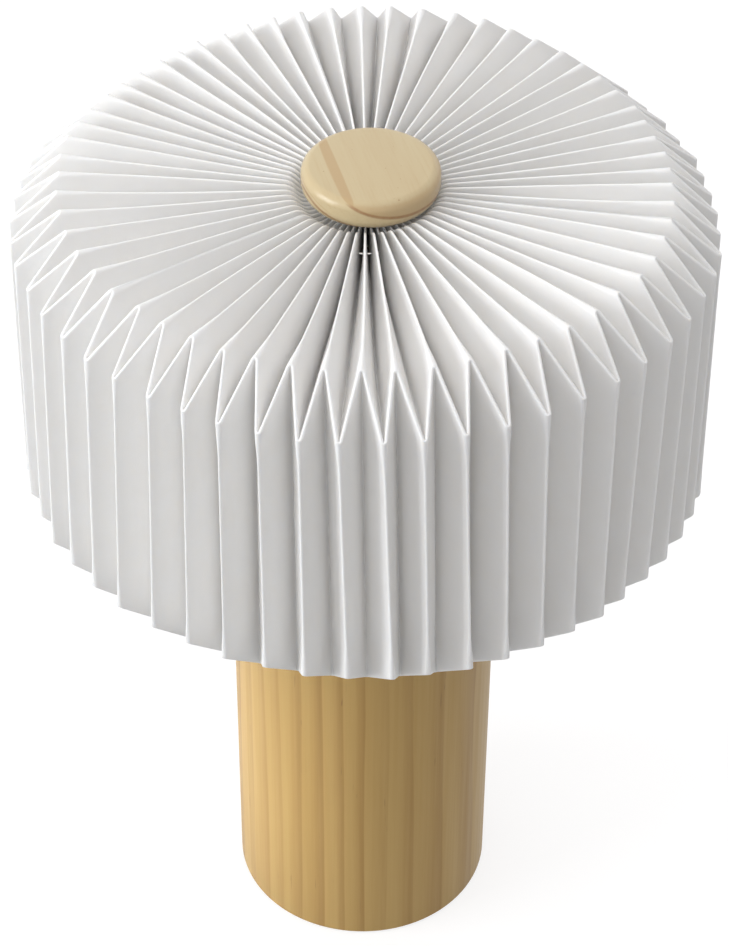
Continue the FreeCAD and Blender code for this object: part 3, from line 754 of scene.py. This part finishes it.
PLAIN_FINISHES = {
    "felt": Felt(),
    "white_plastic": Moulded("white moulded plastic", (0.78, 0.775, 0.75), (0.74, 0.735, 0.705), 0.34),
    "white_steel": Moulded(
        "white powder coat", (0.80, 0.80, 0.785), (0.77, 0.765, 0.745), 0.42, 2400.0, 0.00005
    ),
    "zinc_steel": Metal("zinc-plated steel", (0.66, 0.67, 0.68), (0.56, 0.58, 0.60), 0.34, Working.TURNED),
    "tie_wire": Metal("bright drawn wire", (0.88, 0.87, 0.85), (0.80, 0.79, 0.77), 0.14, Working.DRAWN),
    "porcelain": Moulded(
        "glazed porcelain", (0.86, 0.85, 0.82), (0.83, 0.82, 0.78), 0.2, 500.0, 0.00001, 0.6
    ),
    "brass": Metal("drawn brass", (0.80, 0.60, 0.30), (0.68, 0.49, 0.23), 0.28, Working.TURNED),
    "opal_glass": Glass("opal glass", (0.88, 0.875, 0.86), 0.22, 0.35),
    "bulb_plastic": Moulded("white lamp collar", (0.82, 0.82, 0.80), (0.79, 0.785, 0.76), 0.3),
    "bulb_aluminium": Metal(
        "rolled aluminium", (0.78, 0.785, 0.79), (0.68, 0.69, 0.70), 0.3, Working.DRAWN
    ),
    "dark_glass": Glass("dark glass", (0.012, 0.010, 0.014), 0.12),
    "solder": Metal("solder", (0.55, 0.55, 0.56), (0.42, 0.42, 0.44), 0.42),
    "fibre": Moulded("vulcanised fibre", (0.23, 0.085, 0.05), (0.18, 0.062, 0.038), 0.6, 1500.0, 0.00006),
}


# ------------------------------------------------------------------ paper shade
@dataclass(frozen=True)
class ShadeSize:
    """Sizes of the folded shade.  The angles of gather and hem_ease are in degrees and
    swell is in thousandths of shoulder_r, with a sine and a cosine for each number of
    waves round.  corner_rs are the fold radii of inner and outer folds at the cross
    creases, and the _returns are how far they run in behind the hem."""

    pleats: int = 60
    sheets: int = 3
    first_seam: float = 6.5
    front_ridge: float = 14.5
    turn: float = -0.3
    gather: tuple = ((3.5, -0.4), (1.84, 0.96), (-1.0, -0.6), (-0.45, -0.25))
    hem_turn: float = -0.8
    hem_ease: tuple = ((-0.54, 0.42), (0.26, 0.7), (0.65, 0.71), (0.28, 0.45))
    swell: tuple = ((2.2, 0.4), (-3.3, 2.6), (6.6, -6.7), (-5.1, 6.5))
    paper: float = 0.3 * MM
    shoulder_r: float = 123.5 * MM
    shoulder_z: float = 331.0 * MM
    pleat_depth: float = 17.3 * MM
    shoulder_rise: float = 16.0 * MM
    drop: float = 105.3 * MM
    hem_flare: float = 1.6 * MM
    hem_dip: float = 16.5 * MM
    outer_return: float = 42.0 * MM
    inner_return: float = 28.3 * MM
    edge_r: float = 26.6 * MM
    seat_r: float = 22.5 * MM
    hole_r: float = 12.0 * MM
    ridge_dips: tuple = (4.5 * MM, 8.8 * MM)
    valley_dips: tuple = (5.8 * MM, 7.6 * MM)
    fold_r: float = 0.40 * MM
    mountain_r: float = 0.32 * MM
    crown_ridge_r: float = 0.22 * MM
    corner_rs: tuple = (0.84 * MM, 0.69 * MM)
    doubled_more: float = 0.20 * MM
    crease_turn: float = 0.43 * MM
    doubled_turn: float = 0.17 * MM
    bow: float = 0.30 * MM
    flat_width: float = 750.0 * MM
    flat_height: float = 259.0 * MM


@dataclass(frozen=True)
class Band:
    """One face of the folded sheet, return, wall or top, as rows of fold points.

    near_start and near_end say how near each row is to the cross crease at the band's
    first and last row, from 1 to 0, and fold_r is each fold's radius away from them.
    shine is how much each fold is painted lighter: partly burnished paper, partly a
    painted highlight.
    """

    folds: np.ndarray
    fold_r: np.ndarray
    near_start: np.ndarray
    near_end: np.ndarray
    bow: np.ndarray
    shine: np.ndarray


class PleatedShade:
    """The three folded sheets and the tabs glued behind their seams."""

    NAMES = ("paper_sheet_front", "paper_sheet_right", "paper_sheet_left")
    NODES = ("shade_sheet_front", "shade_sheet_right", "shade_sheet_left")
    PANEL = (0.07, 0.17, 0.3, 0.43, 0.57, 0.7, 0.83, 0.93)
    BEND = (0.35, 0.7, 1.0)
    SOFT = 30 * MM
    NEAR = 18 * MM
    CREASE = (0.14, 0.28, 0.42, 0.58, 0.72, 0.86)
    # Painted highlight on the arcs of the hem and shoulder cross creases, partly burnish.
    CREASE_SHINE = (0.5, 0.9, 1.0, 1.0, 0.9, 0.5)
    RETURN_ROWS = (26, 24, 20, 15, 10, 6, 3, 1.5, 0)
    WALL_ROWS = (121, 119.5, 118, 115, 111, 105, 97, 87, 74, 60, 46, 34, 24, 16, 10, 6, 3, 1.5, 0)
    TOP_ROWS = (0, 1.5, 3, 6, 10, 16, 24, 34, 46, 58, 70, 80, 84, 86, 87, 88, 89, 90, 91, 92)
    TOP_END_ROWS = (93, 94, 96, 99, 102.6)

    def __init__(self, size: ShadeSize, finish: Paper) -> None:
        """Keeps the sizes and draws the folds' unevenness.

        Args:
            size: Sizes of the shade.
            finish: Finish of the paper.
        """
        self.size = size
        self.finish = finish
        self.return_run = 26.0 * MM
        self.wall_run = 121.0 * MM
        self.crown_run = 88.0 * MM
        rng = np.random.default_rng(11)
        self.jitter = rng.normal(0.0, 1.0, (8, 2 * size.pleats))

    def uneven(self, row: int, k: np.ndarray) -> np.ndarray:
        """A fixed small unevenness for each fold, the same for both sheets of a seam."""
        return self.jitter[row, np.round(2 * k).astype(int) % (2 * self.size.pleats)]

    def doubled(self, k: np.ndarray) -> np.ndarray:
        """1 at the folds of a seam's tab, where the paper lies double, else 0."""
        size = self.size
        per_sheet = size.pleats / size.sheets
        away = (k - size.first_seam + per_sheet / 2) % per_sheet - per_sheet / 2
        return (np.abs(away) < 0.75).astype(float)

    def waves(self, k: np.ndarray, pairs: tuple) -> np.ndarray:
        """A smooth unevenness round the shade, the sum of p sin(n phase) +
        q cos(n phase) for n = 1, 2, 3 and 4, where phase is 0 at the front ridge.

        Args:
            k: Fold numbers.
            pairs: p and q for each n.

        Returns:
            The sum at each fold.
        """
        phase = TAU * (k - self.size.front_ridge) / self.size.pleats
        return sum(p * np.sin(n * phase) + q * np.cos(n * phase) for n, (p, q) in enumerate(pairs, 1))

    def fold_angle(self, k: np.ndarray) -> np.ndarray:
        """Direction of a fold at the shoulder: even steps from the front, plus the gather.

        Args:
            k: Fold numbers; whole ones are outer folds, halves are inner folds.

        Returns:
            Angles in degrees from +X, anticlockwise.
        """
        size = self.size
        even = 360.0 * (k - size.front_ridge) / size.pleats - 90.0
        return even + size.turn + self.waves(k, size.gather)

    def place(self, radius: np.ndarray, angle: np.ndarray, z: np.ndarray) -> np.ndarray:
        """Points from radius, angle in degrees and height."""
        radius, angle, z = np.broadcast_arrays(radius, np.radians(angle), z)
        return np.stack([radius * np.cos(angle), radius * np.sin(angle), z], axis=-1)

    def shoulder(self, k: np.ndarray) -> tuple:
        """Radius and height of the zigzag shoulder's corners, one row per fold."""
        size = self.size
        outer = (k % 1 == 0)[:, None]
        radius = np.where(outer, size.shoulder_r, size.shoulder_r - size.pleat_depth)
        swell = size.shoulder_r * self.waves(k, size.swell) / 1000 + self.uneven(6, k) * 0.35 * MM
        z = np.where(outer, size.shoulder_z, size.shoulder_z + size.shoulder_rise)
        return outer, radius + swell[:, None], z

    def hem(self, k: np.ndarray) -> tuple:
        """Radius, angle and height of the zigzag hem's corners, one row per fold."""
        size = self.size
        outer, radius, _ = self.shoulder(k)
        radius = radius + size.hem_flare + self.uneven(0, k)[:, None] * 0.45 * MM
        ease = size.hem_turn + self.waves(k, size.hem_ease) + self.uneven(2, k) * 0.2
        angle = self.fold_angle(k) + self.uneven(3, k) * 0.2 + ease
        z = size.shoulder_z - size.drop - np.where(outer, 0.0, size.hem_dip)
        return radius, angle[:, None], z + self.uneven(1, k)[:, None] * 0.25 * MM

    def turn_in(self, k: np.ndarray, inside: np.ndarray) -> np.ndarray:
        """Fold points on the return inside the hem: level, from the hem to the cut edge.

        Args:
            k: Fold numbers.
            inside: Distances from the hem, up to return_run at the cut edge.

        Returns:
            Points, folds by distances by 3.
        """
        radius, angle, z = self.hem(k)
        length = np.where(k % 1 == 0, self.size.outer_return, self.size.inner_return)
        share = (inside / self.return_run)[None, :]
        return self.place(radius - length[:, None] * share, angle, z)

    def wall(self, k: np.ndarray, down: np.ndarray) -> np.ndarray:
        """Fold points on the wall: straight from the shoulder to the hem.

        Args:
            k: Fold numbers.
            down: Distances below the shoulder, up to wall_run at the hem.

        Returns:
            Points, folds by distances by 3.
        """
        _, start_r, start_z = self.shoulder(k)
        start_angle = (self.fold_angle(k) + self.uneven(3, k) * 0.2)[:, None]
        hem_r, hem_angle, hem_z = self.hem(k)
        share = (down / self.wall_run)[None, :]
        radius = start_r + (hem_r - start_r) * share
        angle = start_angle + (hem_angle - start_angle) * share
        return self.place(radius, angle, start_z + (hem_z - start_z) * share)

    def crown(self, k: np.ndarray, inward: np.ndarray) -> np.ndarray:
        """Fold points on the top: a gentle slope from the shoulder to the edge ring,
        a steeper dip to the seat ring, then level; the two bends are soft ramps.

        Args:
            k: Fold numbers.
            inward: Distances from the shoulder, up to crown_run at the edge ring.

        Returns:
            Points, folds by distances by 3.
        """
        size = self.size
        outer, start_r, start_z = self.shoulder(k)
        edge_dip = np.where(outer, size.valley_dips[0], size.ridge_dips[0])
        seat_dip = np.where(outer, size.valley_dips[1], size.ridge_dips[1])
        share = np.minimum(inward / self.crown_run, 1.0)[None, :]
        past = np.maximum(inward - self.crown_run, 0.0)[None, :]
        radius = start_r + (size.edge_r - start_r) * share - past
        slope = edge_dip / (start_r - size.edge_r)
        steep = (seat_dip - edge_dip) / (size.edge_r - size.seat_r)
        dip = slope * (start_r - radius)
        dip = dip + (steep - slope) * ramp(size.edge_r - radius, 2.2 * MM)
        dip = dip - steep * ramp(size.seat_r - radius, 1.5 * MM)
        hump = np.sin(math.pi * share)
        arch = self.uneven(4, k)[:, None] * 0.35 * MM * hump
        slip = self.uneven(3, k)[:, None] * 0.2 * (1 - share) + self.uneven(5, k)[:, None] * 0.25 * hump
        return self.place(radius, self.fold_angle(k)[:, None] + slip, start_z - dip + arch)

    def across(
        self, folds: np.ndarray, radius: np.ndarray, bow: np.ndarray, burnish_and_highlight: np.ndarray
    ) -> tuple:
        """Carries the sheet's middle through rows of fold points.  Each fold is an arc
        whose crown touches the fold point.  Each panel is the line that touches both
        its arcs, bent into an S by -bow sin(2 pi t), so that it leaves its folds more
        closed than it lies, and into a slight hollow by its own share of sin(pi t).

        Args:
            folds: Fold points, folds by rows by 3, with one more fold at each end.
            radius: Radius of each fold but the end ones, by rows.
            bow: Height of the S, panels by rows.
            burnish_and_highlight: Crease value of each fold but the end ones, which paints the fold
                lighter: partly burnish, partly a painted highlight.

        Returns:
            Points and directions along the columns' numbers, columns by rows by 3, and
            each column's crease value.
        """
        here, before, after = folds[1:-1], folds[:-2], folds[2:]
        inward = unit(unit(before - here) + unit(after - here))
        radius = radius[..., None]
        centre = here + radius * inward
        step = centre[1:] - centre[:-1]
        length = np.linalg.norm(step, axis=-1, keepdims=True)
        way = step / length
        lean = inward[1:] - inward[:-1]
        lean = unit(lean - (lean * way).sum(-1, keepdims=True) * way)
        tilt = np.clip((radius[1:] + radius[:-1]) / length, 0.0, 0.9)
        out = tilt * way + np.sqrt(1 - tilt**2) * lean
        run = unit(step - (radius[1:] + radius[:-1]) * out)
        close = unit(out + TAU * bow[..., None] / length * run)
        first = centre[:-1] + radius[:-1] * close
        last = centre[1:] - radius[1:] * close
        columns = [here[:-1]]
        for share in self.BEND:
            columns.append(centre[:-1] + radius[:-1] * turn_between(-inward[:-1], close, share))
        hollow = np.resize([0.3, -0.2, 0.05, -0.35, 0.25], len(first))[:, None, None]
        for t in self.PANEL:
            lift = hollow * math.sin(math.pi * t) - math.sin(TAU * t)
            columns.append(first + (last - first) * t + bow[..., None] * lift * out)
        for share in self.BEND[::-1]:
            columns.append(centre[1:] - radius[1:] * turn_between(inward[1:], close, share))
        grid = np.concatenate([np.stack(columns, axis=1).reshape(-1, *first.shape[1:]), here[-1:]])
        along = np.empty_like(grid)
        along[1:-1] = grid[2:] - grid[:-2]
        for end in (0, -1):
            chord = after[end] - before[end]
            along[end] = chord - (chord * inward[end]).sum(-1, keepdims=True) * inward[end]
        side = np.array([1.0, 0.8, 0.4, 0.0])
        flat = np.zeros(len(self.PANEL))
        panels = [np.concatenate([a * side, flat, b * side[:0:-1]]) for a, b in zip(burnish_and_highlight, burnish_and_highlight[1:])]
        return grid, unit(along), np.concatenate([*panels, burnish_and_highlight[-1:]])

    def bands(self, k: np.ndarray) -> list:
        """The sheet's three faces, from the cut edge inside the hem to the hole.

        Args:
            k: Fold numbers, with one more fold at each end.

        Returns:
            The return, the wall and the top.
        """
        inside, down = np.array(self.RETURN_ROWS) * MM, np.array(self.WALL_ROWS) * MM
        inward = np.array(self.TOP_ROWS + self.TOP_END_ROWS) * MM
        up = self.wall_run - down
        inner = k[1:-1] % 1 != 0
        size = self.size
        bow = size.bow * (1 + 0.35 * self.uneven(7, k[1:-2])[:, None])
        narrow = np.interp(inward, [0.0, self.crown_run, self.crown_run + 20 * MM], [1.0, 0.3, 0.2])
        soft = smooth(down, 0.0, self.SOFT) * smooth(up, 0.0, self.SOFT)
        # Shine values paint folds lighter: the wall's outer folds most, as a painted highlight where they
        # face the light, partly burnish.
        return [
            Band(
                self.turn_in(k, inside),
                np.full(len(inner), size.fold_r),
                0 * inside,
                1 - smooth(inside, 0.0, self.NEAR),
                bow * 0.5 * smooth(inside, 0.0, self.SOFT)[None, :],
                np.where(inner, 0.25, 0.0),
            ),
            Band(
                self.wall(k, down),
                np.where(inner, size.fold_r, size.mountain_r),
                1 - smooth(up, 0.0, self.NEAR),
                1 - smooth(down, 0.0, self.NEAR),
                bow * soft[None, :],
                np.where(inner, 0.0, 0.8),
            ),
            Band(
                self.crown(k, inward),
                np.where(inner, size.crown_ridge_r, size.fold_r),
                1 - smooth(inward, 0.0, self.NEAR),
                0 * inward,
                bow * (smooth(inward, 0.0, self.SOFT) * narrow)[None, :],
                np.where(inner, 0.25, 0.0),
            ),
        ]

    def skins(self, first: float, last: float, depths: tuple) -> tuple:
        """Skins of the sheet between two folds, from the cut edge inside the hem over
        the wall and the shoulder to the hole.  The hem and the shoulder are cross
        creases: an arc turns from one face's normal to the next one's, and the faces
        move over to its ends and fade back to their own places.

        Args:
            first: Number of the first fold.
            last: Number of the last fold.
            depths: How far each skin lies behind the sheet's middle.

        Returns:
            For each depth the points, columns by rows by 3, and the crease values.
        """
        size = self.size
        k = np.arange(first - 0.5, last + 0.75, 0.5)
        double = self.doubled(k[1:-1])
        corner = (np.where(k[1:-1] % 1 != 0, *size.corner_rs) + size.doubled_more * double)[:, None]
        bands = self.bands(k)
        faces, normals, shines = [], [], []
        for band in bands:
            plain = (band.fold_r + size.doubled_more * double)[:, None]
            radius = plain + (corner - plain) * (band.near_start + band.near_end)
            face, along, shine = self.across(band.folds, radius, band.bow, band.shine)
            faces.append(face)
            normals.append(unit(np.cross(along, np.gradient(face, axis=1))))
            shines.append(np.repeat(shine[:, None], face.shape[1], axis=1))
        per_panel = len(self.PANEL) + 2 * len(self.BEND) + 1
        places = np.arange(len(faces[0])) / per_panel
        turn = np.interp(places, np.arange(len(double)), size.crease_turn + size.doubled_turn * double)
        turn = turn[:, None]
        creases = []
        for at in range(len(bands) - 1):
            side_layer_and_shade, above = normals[at][:, -1], normals[at + 1][:, 0]
            back = -unit(side_layer_and_shade + above)
            centre = faces[at][:, -1] + turn * back
            creases.append((centre, side_layer_and_shade, above))
            near = bands[at].near_end, bands[at + 1].near_start
            faces[at] = faces[at] + (turn * (back + side_layer_and_shade))[:, None] * near[0][None, :, None]
            faces[at + 1] = faces[at + 1] + (turn * (back + above))[:, None] * near[1][None, :, None]
        made = []
        for depth in depths:
            bend = np.maximum(turn - depth, 0.02 * MM)
            rows = [faces[0] - depth * normals[0]]
            for face, normal, (centre, side_layer_and_shade, above) in zip(faces[1:], normals[1:], creases):
                arc_rows = [centre + bend * turn_between(side_layer_and_shade, above, share) for share in self.CREASE]
                rows += [np.stack(arc_rows, axis=1), face - depth * normal]
            made.append(np.concatenate(rows, axis=1))
        arc_shine = np.tile(self.CREASE_SHINE, (len(faces[0]), 1))
        return made, np.concatenate([shines[0], arc_shine, shines[1], arc_shine, shines[2]], axis=1)

    def folded(self, name: str, first: float, last: float, rows: slice, depths: tuple) -> bpy.types.Object:
        """Closed sheet of paper between two skins.

        Args:
            name: Name of the piece.
            first: Number of the first fold.
            last: Number of the last fold.
            rows: Rows that it takes up, out of those from the cut edge to the hole.
            depths: Depths of the outer and the inner skin.

        Returns:
            The mesh object, with its crease attribute.
        """
        skins, crease = self.skins(first, last, depths)
        outer, inner = (skin[:, rows] for skin in skins)
        crease = crease[:, rows]
        across, along = outer.shape[:2]
        quads = np.concatenate(
            [
                grid_quads(across, along),
                grid_quads(across, along, across * along, flip=True),
                rim_quads(across, along),
            ]
        )
        points = np.concatenate([outer.reshape(-1, 3), inner.reshape(-1, 3)])
        piece = add_mesh(name, points, quads, sharp_over=math.radians(75))
        attribute = piece.data.attributes.new("crease", "FLOAT", "POINT")
        attribute.data.foreach_set("value", np.tile(crease.ravel(), 2).astype(np.float32))
        return piece

    def build(self) -> list:
        """Builds the sheets and the tabs, dressed and riding on the shade.

        Returns:
            The pieces.
        """
        size = self.size
        paper = self.finish.build()
        half = size.paper / 2
        per_sheet = size.pleats // size.sheets
        made = []
        for index, (name, node) in enumerate(zip(self.NAMES, self.NODES)):
            first = size.first_seam + index * per_sheet
            piece = self.folded(name, first, first + per_sheet, slice(None), (-half, half))
            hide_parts(node)
            made.append(piece)
        over_hem = len(self.RETURN_ROWS) + len(self.CREASE) + 2
        off_ring = len(self.TOP_END_ROWS) + 11
        short = slice(over_hem, -off_ring)
        for index, name in enumerate(("seam_tab_front", "seam_tab_right", "seam_tab_back")):
            seam = size.first_seam + index * per_sheet
            piece = self.folded(name, seam - 0.5, seam + 0.5, short, (1.2 * half, 3.2 * half))
            if index == 0:
                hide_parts("seam_tabs")
            made.append(piece)
        for piece in made:
            piece.data.materials.append(paper)
            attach(piece, "shade")
            LOG.info("%s: %d faces", piece.name, len(piece.data.polygons))
        return made


# ------------------------------------------------------------------ turned pine
@dataclass(frozen=True)
class KnobSize:
    """Sizes of the knob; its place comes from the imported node."""

    radius: float = 24.4 * MM
    thick: float = 12.5 * MM
    top_round: float = 3.6 * MM
    foot_round: float = 5.6 * MM
    crown: float = 0.6 * MM
    hole_r: float = 5.5 * MM
    hole_depth: float = 10.0 * MM
    flange_r: float = 8.0 * MM
    flange_depth: float = 1.2 * MM


class TurnedKnob:
    """The pebble-shaped pine knob."""

    def __init__(self, size: KnobSize, finish: KnobPine) -> None:
        """Keeps the sizes and the finish."""
        self.size = size
        self.finish = finish

    def outline(self, radius: float, foot: float, top: float) -> list:
        """Outline from the blind hole's end, round the foot and the side, to the top:
        straight runs, two quarter arcs and a shallow parabola for the crown.

        Args:
            radius: Largest radius.
            foot: Height of the underside.
            top: Height of the top.

        Returns:
            Points (r, z).
        """
        size = self.size
        flat_r = radius - size.top_round
        side = (flat_r, top - size.crown - size.top_round)
        points = [(0.0, foot + size.hole_depth), (size.hole_r, foot + size.hole_depth)]
        points += [(size.hole_r, foot + size.flange_depth), (size.flange_r, foot + size.flange_depth)]
        points += [(size.flange_r, foot)]
        points += arc((radius - size.foot_round, foot + size.foot_round), size.foot_round, -90, 0, 16)
        points += arc(side, size.top_round, 0, 90, 24)
        for share in np.linspace(0.9, 0.0, 10):
            points.append((flat_r * share, top - size.crown * share**2))
        return points

    def build(self) -> bpy.types.Object:
        """Builds the knob, dressed and riding on its body.

        Returns:
            The piece.
        """
        low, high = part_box("knob")
        axis = ((low[0] + high[0]) / 2, (low[1] + high[1]) / 2)
        outline = self.outline(self.size.radius, low[2], low[2] + self.size.thick)
        piece = turned("turned_knob", outline, axis, 256)
        piece.data.materials.append(self.finish.build(axis, low[2]))
        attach(piece, "knob")
        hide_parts("knob")
        LOG.info("%s: %d faces", piece.name, len(piece.data.polygons))
        return piece


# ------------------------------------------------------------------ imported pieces
class PackedPieces:
    """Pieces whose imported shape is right: each gets the finish of its own slot."""

    def __init__(self, frame: dict, finishes: dict) -> None:
        """Keeps the frame and the finishes by slot."""
        self.frame = frame
        self.finishes = finishes

    def build(self) -> None:
        """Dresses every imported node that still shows."""
        made: dict = {}
        slots = {part["node"]: part["material_slot"] for part in self.frame["record"]["subparts"]}
        for node, piece in self.frame["nodes"].items():
            if piece.hide_render:
                continue
            slot = slots[node]
            if slot not in made:
                made[slot] = self.finishes[slot].build()
            piece.data.materials.clear()
            piece.data.materials.append(made[slot])
            LOG.info("%s: finish %s", node, made[slot].name)


# ------------------------------------------------------------------ studio
@dataclass(frozen=True)
class Studio:
    """Camera, white floor and soft light, at the photograph's viewing angle."""

    look_at: tuple = (0.0, 0.0, 0.2089)
    distance: float = 1.09775
    elevation: float = 0.72632
    roll: float = 0.00627
    lens: float = 110.36
    sensor: float = 36.0

    def camera(self) -> bpy.types.Object:
        """Makes the camera: it looks down at the lamp from the front.

        Returns:
            The camera object.
        """
        data = bpy.data.cameras.new("camera")
        data.lens = self.lens
        data.sensor_width = self.sensor
        data.clip_end = 20.0
        camera = bpy.data.objects.new("camera", data)
        back = Vector((0.0, -math.cos(self.elevation), math.sin(self.elevation)))
        turn = (-back).to_track_quat("-Z", "Y").to_matrix().to_4x4() @ Matrix.Rotation(self.roll, 4, "Z")
        camera.matrix_world = Matrix.Translation(Vector(self.look_at) + back * self.distance) @ turn
        bpy.context.scene.collection.objects.link(camera)
        bpy.context.scene.camera = camera
        return camera

    def lamp(
        self,
        name: str,
        place: tuple,
        aim: tuple,
        size: float,
        power: float,
        colour: tuple,
        spread: float = 180.0,
    ) -> None:
        """Adds a soft square lamp.

        Args:
            name: Name of the lamp.
            place: Where it stands.
            aim: Where it points.
            size: Side of its square.
            power: Watts.
            colour: Colour of its light.
            spread: Angle of its beam in degrees.
        """
        data = bpy.data.lights.new(name, "AREA")
        data.size = size
        data.energy = power
        data.color = colour
        data.spread = math.radians(spread)
        light = bpy.data.objects.new(name, data)
        light.location = place
        light.rotation_euler = (Vector(aim) - Vector(place)).to_track_quat("-Z", "Y").to_euler()
        bpy.context.scene.collection.objects.link(light)

    def seen(self, weave: Weaver) -> bpy.types.NodeSocket:
        """1 for rays from the camera, from gloss and through glass."""
        path = weave.add("LightPath").outputs
        seen = weave.math("MAXIMUM", path["Is Camera Ray"], path["Is Glossy Ray"])
        return weave.math("MAXIMUM", seen, path["Is Transmission Ray"])

    def world(self) -> None:
        """White where it is seen, and a plain soft light that is a little stronger from
        above and from the left."""
        world = bpy.data.worlds.new("studio")
        bpy.context.scene.world = world
        world.use_nodes = True
        weave = Weaver(world.node_tree)
        world.node_tree.nodes.clear()
        x, _, z = weave.add("SeparateXYZ", Vector=weave.add("TexCoord").outputs["Generated"]).outputs
        left = weave.math("MULTIPLY_ADD", x, -0.22, 0.50)
        level = weave.math("MULTIPLY_ADD", z, 0.72, left)
        soft = weave.add("Background", Color=(1.0, 0.985, 0.98, 1.0), Strength=level)
        white = weave.add("Background", Color=(1.0, 1.0, 1.0, 1.0), Strength=1.0)
        both = weave.add("MixShader")
        weave.set(both.inputs[0], self.seen(weave))
        weave.set(both.inputs[1], soft.outputs[0])
        weave.set(both.inputs[2], white.outputs[0])
        weave.add("OutputWorld", Surface=both.outputs[0])

    def floor(self) -> None:
        """White floor that keeps the lamp's shadow where the camera sees it."""
        reach = 6.0
        corners = np.array([(-reach, -reach, 0), (reach, -reach, 0), (reach, reach, 0), (-reach, reach, 0)])
        floor = add_mesh("floor", corners, np.array([[0, 1, 2, 3]]))
        material = bpy.data.materials.new("white floor")
        material.use_nodes = True
        weave = Weaver(material.node_tree)
        material.node_tree.nodes.clear()
        bounce = weave.add("BsdfDiffuse", Color=(0.42, 0.42, 0.42, 1.0))
        shown = weave.add("BsdfDiffuse", Color=(0.32, 0.32, 0.325, 1.0))
        glow = weave.add("Emission", Color=(1.0, 1.0, 1.0, 1.0), Strength=0.75)
        seen = weave.add("AddShader")
        weave.set(seen.inputs[0], shown.outputs[0])
        weave.set(seen.inputs[1], glow.outputs[0])
        both = weave.add("MixShader")
        weave.set(both.inputs[0], self.seen(weave))
        weave.set(both.inputs[1], bounce.outputs[0])
        weave.set(both.inputs[2], seen.outputs[0])
        weave.add("OutputMaterial", Surface=both.outputs[0])
        floor.data.materials.append(material)

    def build(self) -> None:
        """Sets up camera, light and floor."""
        bpy.context.scene.view_settings.view_transform = "Standard"
        self.camera()
        self.world()
        self.floor()
        aim = (0.0, 0.0, 0.25)
        low_aim = (0.0, 0.0, 0.07)
        self.lamp("low fill", (-0.77, -0.10, 0.06), low_aim, 0.14, 0.05, (1.0, 0.99, 0.98), 20.0)
        self.lamp("key", (-1.55, -0.5, 0.75), aim, 1.0, 14.4, (0.965, 0.985, 1.0))


def main() -> None:
    """Builds the lamp's pieces in order, then the studio."""
    logging.basicConfig(level=logging.INFO, format="%(name)s: %(message)s")
    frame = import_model()
    PleatedShade(ShadeSize(), Paper()).build()
    TurnedKnob(KnobSize(), KnobPine()).build()
    PackedPieces(frame, {**PLAIN_FINISHES, "pine": BasePine()}).build()
    Studio().build()
    bpy.context.view_layer.update()


if __name__ == "__main__":
    main()
